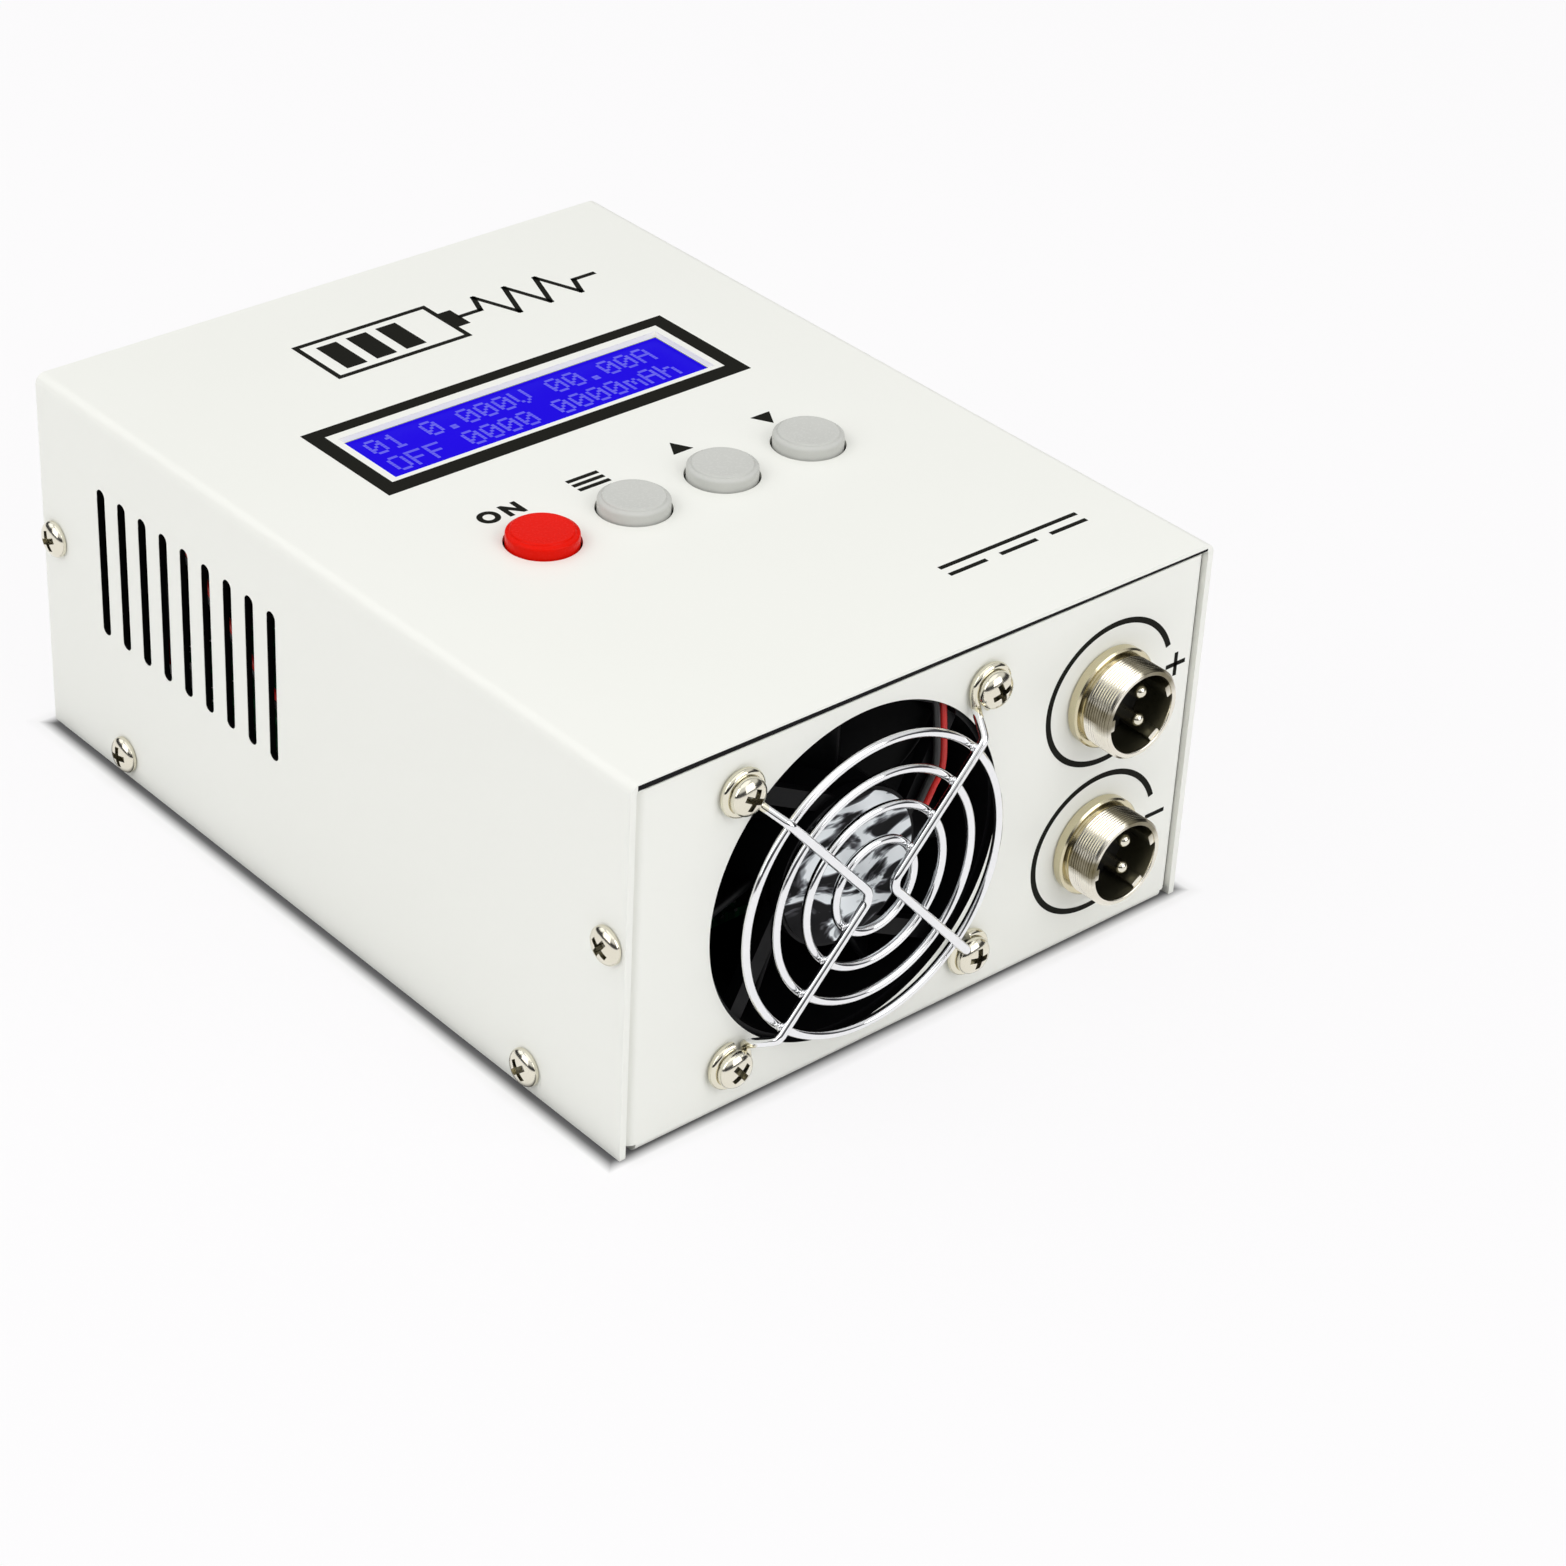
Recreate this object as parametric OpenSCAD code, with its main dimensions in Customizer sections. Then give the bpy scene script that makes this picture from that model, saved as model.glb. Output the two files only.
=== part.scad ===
// Battery capacity tester with a fan-cooled electronic load, in millimetres.
// The front panel faces -Y, +X is to the right seen from the front, and the base rests on z = 0.

/* [Case] */
// Outer width of the case, left to right
case_w = 120; // [114:1:150]
// Outer depth of the case, front to rear
case_d = 158; // [152:1:200]
// Outer height of the case
case_h = 68; // [67:1:90]
// Sheet thickness of the folded cover
cover_t = 1.2; // [0.8:0.1:1.6]
// Sheet thickness of the tray that makes the base and both end panels
tray_t = 1.2; // [0.8:0.1:1.6]
// Inside radius of the sheet-metal bends
bend_r = 0.6; // [0.3:0.1:1.2]
// How far the end panels sit inside the cover's ends
panel_inset = 0.2; // [0:0.1:1]
// Gap between the tray and the cover's side walls
side_gap = 0.3; // [0.2:0.1:0.6]
// Gap between the end panels' top edges and the cover
top_gap = 0.3; // [0.2:0.1:1]
// How far the cover's lower edges stay above the table
edge_lift = 0.2; // [0:0.1:0.6]
// Depth of the flanges bent back from the end panels
flange_d = 9; // [7:0.5:12]
// Height of the flanges bent up from the base
skirt_h = 9; // [8:0.5:12]

/* [Vents] */
// Number of slots in each side wall
vent_count = 9; // [3:1:12]
// Distance from slot to slot
vent_pitch = 6.15; // [5:0.05:7]
// Width of a slot
vent_w = 2.4; // [1.5:0.1:3.5]
// Length of a slot, end to end
vent_len = 28; // [15:0.5:34]
// Height of the slots' middle above the base
vent_z = 40.3; // [35:0.1:45]
// Distance from the case's rear edge to the rearmost slot
vent_rear = 18.7; // [16:0.1:25]

/* [Case screws] */
// Diameter of the case screws
screw_d = 3; // [2.5:0.1:3.5]
// Diameter of the pan heads
head_d = 6.5; // [5.5:0.1:7.5]
// Height of the pan heads
head_h = 2; // [1.5:0.1:2.6]
// Length of a case screw under its head
case_screw_len = 6; // [5:0.5:8]
// Distance from each end of the case to its upper side screws
upper_screw_inset = 4; // [3.8:0.1:6]
// Height of the upper side screws
upper_screw_z = 38.4; // [30:0.1:50]
// Distance from each end of the case to its lower side screws
lower_screw_inset = 23; // [16:0.5:40]
// Height of the lower side screws
lower_screw_z = 4.6; // [4.2:0.1:5.2]

/* [Display] */
// Width of the display window in the cover
window_w = 67; // [60:0.5:70]
// Depth of the display window in the cover
window_d = 15.8; // [12:0.1:17]
// Offset of the window's middle to the right of the case's middle
window_x = 1; // [-5:0.5:5]
// Offset of the window's middle behind the case's middle
window_y = 22.9; // [21:0.1:28]
// How far the display's metal bezel reaches past the window at each end
bezel_rim = 2.2; // [1.8:0.1:2.6]
// How far the display's metal bezel reaches past the window in front and behind
bezel_lip = 4.3; // [3:0.1:4.8]
// Sheet thickness of the bezel
bezel_t = 0.5; // [0.3:0.1:0.8]
// How far the display board reaches past the bezel at each end
lcd_rim = 4.3; // [4:0.1:6]
// How far the display board reaches past the bezel in front and behind
lcd_lip = 5.8; // [5.5:0.1:6.2]
// Height of the spacers that carry the two upper boards
spacer_h = 7.2; // [7:0.1:8]

/* [Buttons] */
// Distance from button to button
button_pitch = 18.5; // [16:0.5:20]
// Offset of the row's middle to the right of the case's middle
button_x = 1.4; // [-4:0.1:4]
// Offset of the row in front of the case's middle
button_y = 15.5; // [14:0.1:22]
// Diameter of a cap where it leaves the cover
cap_d = 12; // [11:0.1:13.5]
// Diameter of a cap's flat top
cap_top_d = 10.3; // [9:0.1:11]
// How far a cap stands above the cover
cap_proud = 2.4; // [1.5:0.1:4]
// Gap all round a cap in its hole
cap_gap = 0.35; // [0.3:0.05:0.6]
// Travel of a button
button_travel = 0.5; // [0.3:0.05:0.7]

/* [Fan] */
// Gap between the base and the fan
fan_under = 3.1; // [2.6:0.1:3.6]
// Gap between the fan and the cover
fan_over = 2.5; // [2.4:0.1:3]
// Depth of the fan
fan_t = 25; // [20:1:28]
// Distance from the fan's edges to its screws
fan_screw_edge = 5; // [4.5:0.1:5.5]
// Distance from the case's left side to the fan's axis
fan_from_left = 46; // [40:0.5:48]
// How far the panel's opening stays inside the fan's edges
opening_edge = 0.5; // [0.4:0.1:4]
// Wall of the fan's duct at its thinnest
duct_edge = 1.2; // [1:0.1:2]
// Diameter of the rotor's hub
hub_d = 27; // [26:0.5:29]
// Number of blades
blade_count = 7; // [5:1:9]
// Gap between the blade tips and the duct
tip_gap = 0.8; // [0.5:0.1:1.5]
// Thickness of a blade
blade_t = 1.3; // [1:0.1:1.8]
// Diameter of the rotor's shaft
shaft_d = 3; // [2.5:0.1:3.4]
// Running gap between the shaft and its bearing
shaft_gap = 0.03; // [0.02:0.01:0.06]

/* [Fan guard] */
// Wire diameter of the guard's rings
ring_wire_d = 1.5; // [1:0.1:1.8]
// Wire diameter of the guard's arms
arm_wire_d = 1.6; // [1.2:0.1:2]
// Distance from the fan's edge to the middle of the outermost ring
ring_edge = 4; // [4:0.1:6]
// Distance from ring to ring
ring_pitch = 6; // [4.5:0.1:6.2]
// Number of rings
ring_count = 4; // [3:1:4]
// Radius of the eye round each fan screw, to the middle of its wire
eye_r = 3.4; // [2.8:0.1:3.8]
// How far the arms stand in front of their eyes
arm_rise = 4.9; // [3.5:0.1:6]
// Distance from the fan's axis to each arm's bend
apex_x = 2.8; // [2:0.1:5]

/* [Sockets] */
// Distance from the case's right side to the sockets' axes
socket_from_right = 21.5; // [20:0.5:24]
// Distance from the case's top to the positive socket's axis
socket_from_top = 20.6; // [18:0.1:22]
// Distance between the two sockets' axes
socket_pitch = 28.4; // [25:0.1:30]
// Diameter of the coupling thread
thread_d = 16; // [15:0.5:17]
// Diameter of the flange on the panel
socket_flange_d = 17.6; // [17.2:0.1:19]
// Thickness of the flange on the panel
socket_flange_t = 2; // [1.5:0.1:3]
// How far the socket stands out of the panel
socket_out = 8; // [7:0.1:10]
// Diameter of the space that the plug enters
socket_bore_d = 13.6; // [13:0.1:14]
// Diameter of the stem that goes through the panel
stem_d = 14.4; // [14:0.1:15]
// Diameter of the contact pins
contact_d = 2.4; // [2:0.1:3]
// Distance between the contact pins
contact_pitch = 5.2; // [5:0.1:6]
// Offset of the contact pins from the socket's axis
contact_x = 1.6; // [0:0.1:2]
// How far the contact pins' tips stay inside the rim
contact_recess = 1.4; // [1:0.1:3]

/* [Boards] */
// Thickness of every circuit board
board_t = 1.6; // [1.2:0.1:2]
// Height of the pillars under the main board
pillar_h = 6; // [5:0.5:8]
// Gap between the main board's edges and the tray's sides
board_edge_gap = 4; // [2:0.5:5]
// Gap between the fan's rear face and the main board
board_fan_gap = 5; // [3:0.5:8]
// Inset of the main board's screws from its edges
board_hole_inset = 4; // [3.5:0.5:6]
// Length of a board screw under its head
board_screw_len = 5; // [4:0.5:6]

/* [Heat sink] */
// Gap between the heat sink and the boards above it
sink_over = 7.2; // [4:0.1:9]
// Gap between the heat sink and the flat cable behind it
sink_behind = 1; // [0.6:0.1:6]
// Width of the heat sink, base and fins
sink_w = 55; // [45:1:56]
// Thickness of the heat sink's base
sink_base_t = 5; // [4:0.5:6]
// Number of fins
fin_count = 8; // [4:1:9]
// Thickness of a fin
fin_t = 1.5; // [1:0.1:2]
// Number of power transistors
transistor_count = 4; // [1:1:4]
// Gap between one transistor and the next
transistor_gap = 3; // [1:0.5:4]

/* [Rear panel] */
// Distance from the case's right side to the power inlet's axis
inlet_from_right = 24; // [20:0.5:30]
// Distance from the case's right side to the middle of the data port
port_from_right = 46; // [42:0.5:60]
// Diameter of the power inlet's collar
inlet_d = 8; // [7.5:0.1:9]
// Diameter of the power inlet's bore
inlet_bore_d = 5.6; // [5.5:0.1:6]

/* [Wires] */
// Diameter of the two battery leads
lead_d = 3.4; // [2.5:0.1:4]
// Diameter of the fan's wires
fan_wire_d = 1.3; // [1:0.1:1.5]

/* [Hidden] */
$fn = 48;

// Clearance between parts that are pushed or screwed into each other
snug = 0.05;
// Extra length that makes a cut run clear through its part
through = 1;

// Faces of the case
wall_in = case_w / 2 - cover_t;
top_in = case_h - cover_t;
tray_half = wall_in - side_gap;
panel_out = case_d / 2 - panel_inset;
panel_in = panel_out - tray_t;
panel_top = top_in - top_gap;
bend_out = bend_r + tray_t;
screw_r = screw_d / 2;
screw_hole_r = screw_r + 0.2;
collar_r = screw_r + 0.75;
collar_len = 1.8;
skirt_gap = 1;
panel_play = 0.3;

// Upper boards and buttons
upper_board_z = top_in - spacer_h;
bezel_w = window_w + 2 * bezel_rim;
bezel_d = window_d + 2 * bezel_lip;
lcd_board_w = bezel_w + 2 * lcd_rim;
lcd_board_d = bezel_d + 2 * lcd_lip;
spacer_r = 2.4;
spacer_bore_len = 5;
upper_inset = 2.6;
small_screw_r = 1.25;
small_head_r = 2.3;
small_head_h = 1.5;
bezel_h = spacer_h - 0.1;
bezel_edge = 0.5;
glass_t = 1.8;
glass_z = bezel_h - bezel_t - snug - glass_t;
housing_w = 12;
button_board_w = lcd_board_w + 2;
button_board_d = housing_w + cap_d;
housing_h = 3.5;
housing_floor = 0.8;
plunger_r = 3.5;
stem_w = 3.8;
button_xs = [for (i = [0:3]) button_x + (i - 1.5) * button_pitch];
end_play = 0.2;
cap_wall = 1.2;
cap_foot = 0.6;
cap_grip = 2.5;
cap_base_z = upper_board_z + housing_h + button_travel + end_play + 0.1;
cap_top_z = case_h + cap_proud;

// Fan, measured from its front face at the panel, towards the rear
fan_size = top_in - tray_t - fan_under - fan_over;
fan_screw_pitch = fan_size - 2 * fan_screw_edge;
opening_d = fan_size - 2 * opening_edge;
duct_d = fan_size - 2 * duct_edge;
fan_x = fan_from_left - case_w / 2;
fan_z = tray_t + fan_under + fan_size / 2;
fan_front = -panel_in;
fan_flange_t = 3.5;
fan_hole_r = 2.2;
fan_hub_r = hub_d / 2;
motor_base_gap = 1;
motor_base_t = 2.2;
strut_front = motor_base_gap + 1;
rotor_front = strut_front + motor_base_t + 0.7;
rotor_back = fan_t - 2.5;
fan_corner_r = 3;
duct_wall = 2.5;
root = 0.8;
tube_r = 4.2;
tube_h = 15;
bearing_r = 3.2;
bearing_len = 12;
strut_w = 3;
strut_angle = 15;
strut_sweep = 29;
magnet_out_r = fan_hub_r - 1.3;
magnet_in_r = magnet_out_r - 1.4;
stator_r = magnet_in_r - 0.6;

// Guard, measured from the panel's outer face, towards the front
arm_r = arm_wire_d / 2;
ring_wire_r = ring_wire_d / 2;
ring_r = fan_size / 2 - ring_edge;
weld_gap = 0.02;
eye_out = arm_r + weld_gap;
arm_out = eye_out + arm_rise;
ring_out = arm_out - arm_r - ring_wire_r - weld_gap;

// Sockets, measured from the panel's outer face, towards the front
socket_x = case_w / 2 - socket_from_right;
socket_pos_z = case_h - socket_from_top;
socket_neg_z = socket_pos_z - socket_pitch;
socket_floor = 1;
socket_back = 11;
stem_wall = 1.2;
contact_back = 14;
nut_t = 2.5;
fan_nut_w = 5.5;
socket_nut_w = 18;
key_angles = [180, 20, 305];

// Main board and what stands on it
pillar_r = 3;
board_z = tray_t + pillar_h;
board_top = board_z + board_t;
board_half = tray_half - tray_t - board_edge_gap;
board_front = fan_front + fan_t + board_fan_gap;
board_rear = panel_in - 1;
ribbon_y = window_y + lcd_board_d / 2 - 3;
header_d = 5;
sink_right = fan_x + fan_size / 2;
sink_front = board_front + 2;
sink_len = ribbon_y - header_d / 2 - sink_behind - sink_front;
sink_h = upper_board_z - board_t - sink_over - board_top;
transistor_pitch = sink_len / transistor_count - 1;
transistor_w = transistor_pitch - transistor_gap;
transistor_t = 5;
transistor_h = 20;
transistor_z = board_top + 10;
transistor_hole_z = transistor_z + transistor_h - 5;
sink_bore_len = 3.5;
transistor_y0 = sink_front + sink_len / 2 - (transistor_count - 1) * transistor_pitch / 2;
inlet_x = case_w / 2 - inlet_from_right;
inlet_z = board_top + 6.5;
inlet_w = 10;
inlet_len = 14;
inlet_bore_len = 10.5;
port_x = case_w / 2 - port_from_right;
port_w = 12.5;
port_back_t = 2.5;
port_h = 6;
port_wall = 0.8;
port_floor_y = panel_out - 8.5;
zone_x0 = sink_right + transistor_t + head_h + 1;
zone_w = board_half - zone_x0 - 1;
zone_x = zone_x0 + zone_w / 2;
post_y = board_front + 9;
post_h = 7;
post_r = 3;
zone_unit = min(zone_w, 0.28 * (board_rear - inlet_len - post_y));
post_xs = [zone_x0 + zone_w * 0.14, zone_x0 + zone_w * 0.62];
coil_r = zone_unit * 0.478;
coil_y = post_y + post_r + coil_r + 6;
big_can_r = zone_unit * 0.28;
small_can_r = zone_unit * 0.175;
can_y = coil_y + coil_r + big_can_r + 8;
ribbon_w = 20;
ribbon_t = 1;
ribbon_x = window_x;
ribbon_step = 17;
ribbon_head_h = 5;
header_h = 8;
chip_side = 9;
header_x = 5 - board_half;
header_y = board_rear - 17.7;
wire_x = 3.6 - tray_half;
wire_gap = 1.6;
wire_notch_w = 4.8;

// A point on the fan's front plane, given by radius and angle, at a depth behind the panel
function fan_point(r, a, depth) = [fan_x + r * cos(a), fan_front + depth, fan_z + r * sin(a)];

// A smooth curve through hand-picked points, with n steps from each to the next
function between(a, b, c, d, t) =
    0.5 * (2 * b + (c - a) * t + (2 * a - 5 * b + 4 * c - d) * t * t
    + (3 * b - a - 3 * c + d) * t * t * t);
function smooth(p, n) = [
    for (i = [0:len(p) - 2]) for (k = [0:n - 1])
        between(p[max(i - 1, 0)], p[i], p[i + 1], p[min(i + 2, len(p) - 1)], k / n),
    p[len(p) - 1]
];

// Directions along a route, and a side direction carried along it without twist
function unit(v) = v / norm(v);
function tangents(p) = [
    for (i = [0:len(p) - 1]) unit(p[min(i + 1, len(p) - 1)] - p[max(i - 1, 0)])
];
function across(n, t) = unit(n - (n * t) * t);
function side_of(t, i, n0) = i == 0 ? across(n0, t[0]) : across(side_of(t, i - 1, n0), t[i]);

// A round wire swept along a route
module wire_along(route, r, sides = 8) {
    t = tangents(route);
    last = len(route) - 1;
    points = [
        for (i = [0:last])
            let (n = side_of(t, i, [0.3, 0.2, 1]), b = cross(t[i], n))
            for (k = [0:sides - 1])
                let (a = 360 * k / sides)
                route[i] + r * (cos(a) * n + sin(a) * b)
    ];
    walls = [
        for (i = [0:last - 1]) for (k = [0:sides - 1])
            let (k2 = (k + 1) % sides)
            [i * sides + k, (i + 1) * sides + k, (i + 1) * sides + k2, i * sides + k2]
    ];
    first_cap = [[for (k = [0:sides - 1]) k]];
    last_cap = [[for (k = [0:sides - 1]) last * sides + sides - 1 - k]];
    polyhedron(points, concat(walls, first_cap, last_cap));
}

// Places a child so that its +Z points out of the front panel, with its origin at depth y
module facing_front(x, z, y) {
    translate([x, y, z]) rotate([90, 0, 0]) children();
}

// A pan-head screw with its head's seat at z = 0 and its shank below
module pan_screw(shank_r, head_r, high, len) {
    rim = high * 0.5;
    dome_r = (pow(head_r, 2) + pow(high - rim, 2)) / (2 * (high - rim));
    recess_w = head_r * 0.3;
    recess_len = head_r * 1.15;
    difference() {
        union() {
            intersection() {
                cylinder(r = head_r, h = high);
                translate([0, 0, high - dome_r]) sphere(r = dome_r);
            }
            translate([0, 0, -len]) cylinder(r = shank_r, h = len + rim);
        }
        for (a = [0, 90])
            rotate([0, 0, a])
                translate([0, 0, high])
                    cube([recess_len, recess_w, high * 1.1], center = true);
    }
}

// A hexagon nut that stands on z = 0
module hex_nut(flats, bore_r, high) {
    difference() {
        cylinder(d = flats / cos(30), h = high, $fn = 6);
        translate([0, 0, -through]) cylinder(r = bore_r, h = high + 2 * through);
    }
}

// A flat outline of width w and height h with its two upper corners rounded
module arch_outline(w, h, r) {
    translate([-w / 2, 0]) square([w, h - r]);
    translate([r - w / 2, 0]) square([w - 2 * r, h]);
    for (s = [-1, 1]) translate([s * (w / 2 - r), h - r]) circle(r = r);
}

// A channel section: a flat web of width w with both sides bent up to height h
module channel_outline(w, h, t) {
    difference() {
        rotate(180) translate([0, -h]) arch_outline(w, h, bend_out);
        rotate(180) translate([0, -h - through])
            arch_outline(w - 2 * t, h + through - t, bend_r);
    }
}

// A quarter of the bend between the base and an end panel
module bend_outline() {
    intersection() {
        difference() {
            circle(r = bend_out);
            circle(r = bend_r);
        }
        translate([-bend_out, -bend_out]) square(bend_out);
    }
}

// One end panel with its flanges, outer face on the plane y = 0, standing on z = 0
module end_panel() {
    flange_z0 = skirt_h + skirt_gap - bend_out;
    difference() {
        linear_extrude(panel_top - bend_out) channel_outline(2 * tray_half, flange_d, tray_t);
        for (s = [-1, 1])
            translate([s * tray_half, bend_out + flange_d / 2, flange_z0 / 2])
                cube([4 * bend_out, flange_d, flange_z0 + snug], center = true);
    }
}

// The collar that a tapped hole is drawn into, pointing along +Z from the sheet's inner face
module tap_collar() {
    translate([0, 0, -tray_t / 2]) cylinder(r = collar_r, h = tray_t / 2 + collar_len);
}

// Places a child at each of the case's side screws, +Z outwards, at a distance from the middle
module at_side_screws(x) {
    spots = [
        [case_d / 2 - upper_screw_inset, upper_screw_z],
        [case_d / 2 - lower_screw_inset, lower_screw_z]
    ];
    for (side = [-1, 1])
        for (end = [-1, 1])
            for (p = spots)
                translate([side * x, end * p[0], p[1]])
                    rotate([0, side * 90, 0])
                        children();
}

module at_fan_screws(y) {
    for (sx = [-1, 1])
        for (sz = [-1, 1])
            facing_front(fan_x + sx * fan_screw_pitch / 2, fan_z + sz * fan_screw_pitch / 2, y)
                children();
}

// Base, front panel and rear panel bent from one sheet
module tray() {
    flat_half = panel_out - bend_out;
    notch_half = tray_half - bend_out;
    color("ivory")
    difference() {
        union() {
            rotate([90, 0, 0])
                linear_extrude(2 * (flat_half - flange_d), center = true)
                    channel_outline(2 * tray_half, skirt_h, tray_t);
            translate([-notch_half, -flat_half, 0])
                cube([2 * notch_half, 2 * flat_half, tray_t]);
            for (end = [-1, 1])
                scale([1, -end, 1])
                    translate([0, -panel_out, 0]) {
                        translate([-notch_half, bend_out, bend_out])
                            rotate([90, 0, 90])
                                linear_extrude(2 * notch_half) bend_outline();
                        translate([0, 0, bend_out]) end_panel();
                    }
            at_side_screws(tray_half - tray_t) rotate([180, 0, 0]) tap_collar();
        }
        at_side_screws(tray_half)
            translate([0, 0, -tray_t - collar_len - through])
                cylinder(r = screw_r, h = tray_t + collar_len + 2 * through);
        facing_front(fan_x, fan_z, -panel_in + through)
            cylinder(d = opening_d, h = tray_t + 2 * through);
        at_fan_screws(-panel_in + through)
            cylinder(r = screw_hole_r, h = tray_t + 2 * through);
        for (z = [socket_pos_z, socket_neg_z])
            facing_front(socket_x, z, -panel_in + through)
                cylinder(r = stem_d / 2 + 2 * snug, h = tray_t + 2 * through);
        facing_front(inlet_x, inlet_z, panel_out + through)
            cylinder(r = inlet_d / 2 + panel_play, h = tray_t + 2 * through);
        translate([port_x - port_w / 2 - panel_play, panel_in - through, board_top - panel_play])
            cube([port_w, tray_t, port_h] + 2 * [panel_play, through, panel_play]);
        at_board_corners(-through) cylinder(r = screw_r, h = tray_t + 2 * through);
    }
}

// Top and both side walls bent from one sheet
module top_cover() {
    slot_y0 = case_d / 2 - vent_rear - (vent_count - 1) * vent_pitch;
    color("ivory")
    difference() {
        translate([0, 0, edge_lift])
            rotate([90, 0, 0])
                linear_extrude(case_d, center = true)
                    difference() {
                        arch_outline(case_w, case_h - edge_lift, bend_r + cover_t);
                        translate([0, -through])
                            arch_outline(2 * wall_in, top_in - edge_lift + through, bend_r);
                    }
        translate([window_x - window_w / 2, window_y - window_d / 2, top_in - through])
            cube([window_w, window_d, cover_t + 2 * through]);
        for (x = button_xs)
            translate([x, -button_y, top_in - through])
                cylinder(r = cap_d / 2 + cap_gap, h = cover_t + 2 * through);
        for (i = [0:vent_count - 1])
            translate([0, slot_y0 + i * vent_pitch, vent_z])
                rotate([0, 90, 0])
                    linear_extrude(case_w + 2 * through, center = true)
                        vent_outline();
        at_side_screws(wall_in - through) cylinder(r = screw_hole_r, h = cover_t + 2 * through);
    }
}

module vent_outline() {
    straight = vent_len - vent_w;
    square([straight, vent_w], center = true);
    for (s = [-1, 1]) translate([s * straight / 2, 0]) circle(d = vent_w);
}

module case_screws() {
    color("silver")
        at_side_screws(case_w / 2 + snug) pan_screw(screw_r - snug, head_d / 2, head_h, case_screw_len);
}

// Metal frame over the display glass
module lcd_bezel() {
    color("dimgray")
    translate([window_x, window_y, upper_board_z])
    difference() {
        translate([-bezel_w / 2, -bezel_d / 2, 0]) cube([bezel_w, bezel_d, bezel_h]);
        translate([bezel_t - bezel_w / 2, bezel_t - bezel_d / 2, -through])
            cube([bezel_w - 2 * bezel_t, bezel_d - 2 * bezel_t, bezel_h - bezel_t + through]);
        translate([-window_w / 2 - bezel_edge, -window_d / 2 - bezel_edge, 0])
            cube([window_w + 2 * bezel_edge, window_d + 2 * bezel_edge, bezel_h + through]);
    }
}

// Display glass with its raised polariser in the bezel's window
module lcd_glass() {
    inner_w = bezel_w - 2 * bezel_t - 2 * snug;
    inner_d = bezel_d - 2 * bezel_t - 2 * snug;
    raised_w = window_w + 2 * bezel_edge - 4 * snug;
    raised_d = window_d + 2 * bezel_edge - 4 * snug;
    color("blue")
    translate([window_x, window_y, upper_board_z + glass_z]) {
        translate([-inner_w / 2, -inner_d / 2, 0]) cube([inner_w, inner_d, glass_t]);
        translate([-raised_w / 2, -raised_d / 2, 0]) cube([raised_w, raised_d, glass_t + bezel_t]);
    }
}

// Light guide between the display glass and its board
module lcd_backlight() {
    inner_w = bezel_w - 4 * bezel_t;
    inner_d = bezel_d - 4 * bezel_t;
    color("white")
    translate([window_x - inner_w / 2, window_y - inner_d / 2, upper_board_z])
        cube([inner_w, inner_d, glass_z - snug]);
}

// A board under the cover with a hole near each corner, and its spacers' places
module at_upper_corners(z) {
    lcd = [window_x, window_y, lcd_board_w / 2 - upper_inset, lcd_board_d / 2 - upper_inset];
    keys = [button_x, -button_y, button_board_w / 2 - upper_inset, button_board_d / 2 - upper_inset];
    for (b = [lcd, keys])
        for (sx = [-1, 1])
            for (sy = [-1, 1])
                translate([b[0] + sx * b[2], b[1] + sy * b[3], z]) children();
}

module upper_board(x, y, w, d) {
    difference() {
        translate([x - w / 2, y - d / 2, upper_board_z - board_t]) cube([w, d, board_t]);
        at_upper_corners(upper_board_z - board_t - through)
            cylinder(r = small_screw_r + 3 * snug, h = board_t + 2 * through);
    }
}

module lcd_board() {
    color("darkgreen") upper_board(window_x, window_y, lcd_board_w, lcd_board_d);
}

module button_board() {
    color("darkgreen") upper_board(button_x, -button_y, button_board_w, button_board_d);
}

// Spacers pressed to the cover's underside
module board_spacers() {
    color("silver")
    at_upper_corners(upper_board_z)
        difference() {
            cylinder(r = spacer_r, h = spacer_h);
            translate([0, 0, -through]) cylinder(r = small_screw_r, h = spacer_bore_len + through);
        }
}

module spacer_screws() {
    color("silver")
    at_upper_corners(upper_board_z - board_t - snug)
        rotate([180, 0, 0])
            pan_screw(small_screw_r - snug, small_head_r, small_head_h, board_screw_len);
}

// Housings of the four push switches
module tact_housings() {
    color("black")
    for (x = button_xs)
        translate([x, -button_y, upper_board_z])
            difference() {
                translate([-housing_w / 2, -housing_w / 2, 0])
                    cube([housing_w, housing_w, housing_h]);
                translate([0, 0, housing_floor])
                    cylinder(r = plunger_r + 2 * snug, h = housing_h);
            }
}

// A switch's moving plunger, with the square stem that carries the cap
module plunger(i) {
    foot = upper_board_z + housing_floor + button_travel + end_play;
    seat = cap_base_z + cap_foot;
    translate([button_xs[i], -button_y, foot]) {
        cylinder(r = plunger_r, h = seat - foot);
        translate([-stem_w / 2, -stem_w / 2, 0]) cube([stem_w, stem_w, seat - foot + cap_grip]);
    }
}

module plunger_on() { color("white") plunger(0); }
module plunger_set() { color("white") plunger(1); }
module plunger_inc() { color("white") plunger(2); }
module plunger_dec() { color("white") plunger(3); }

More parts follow.
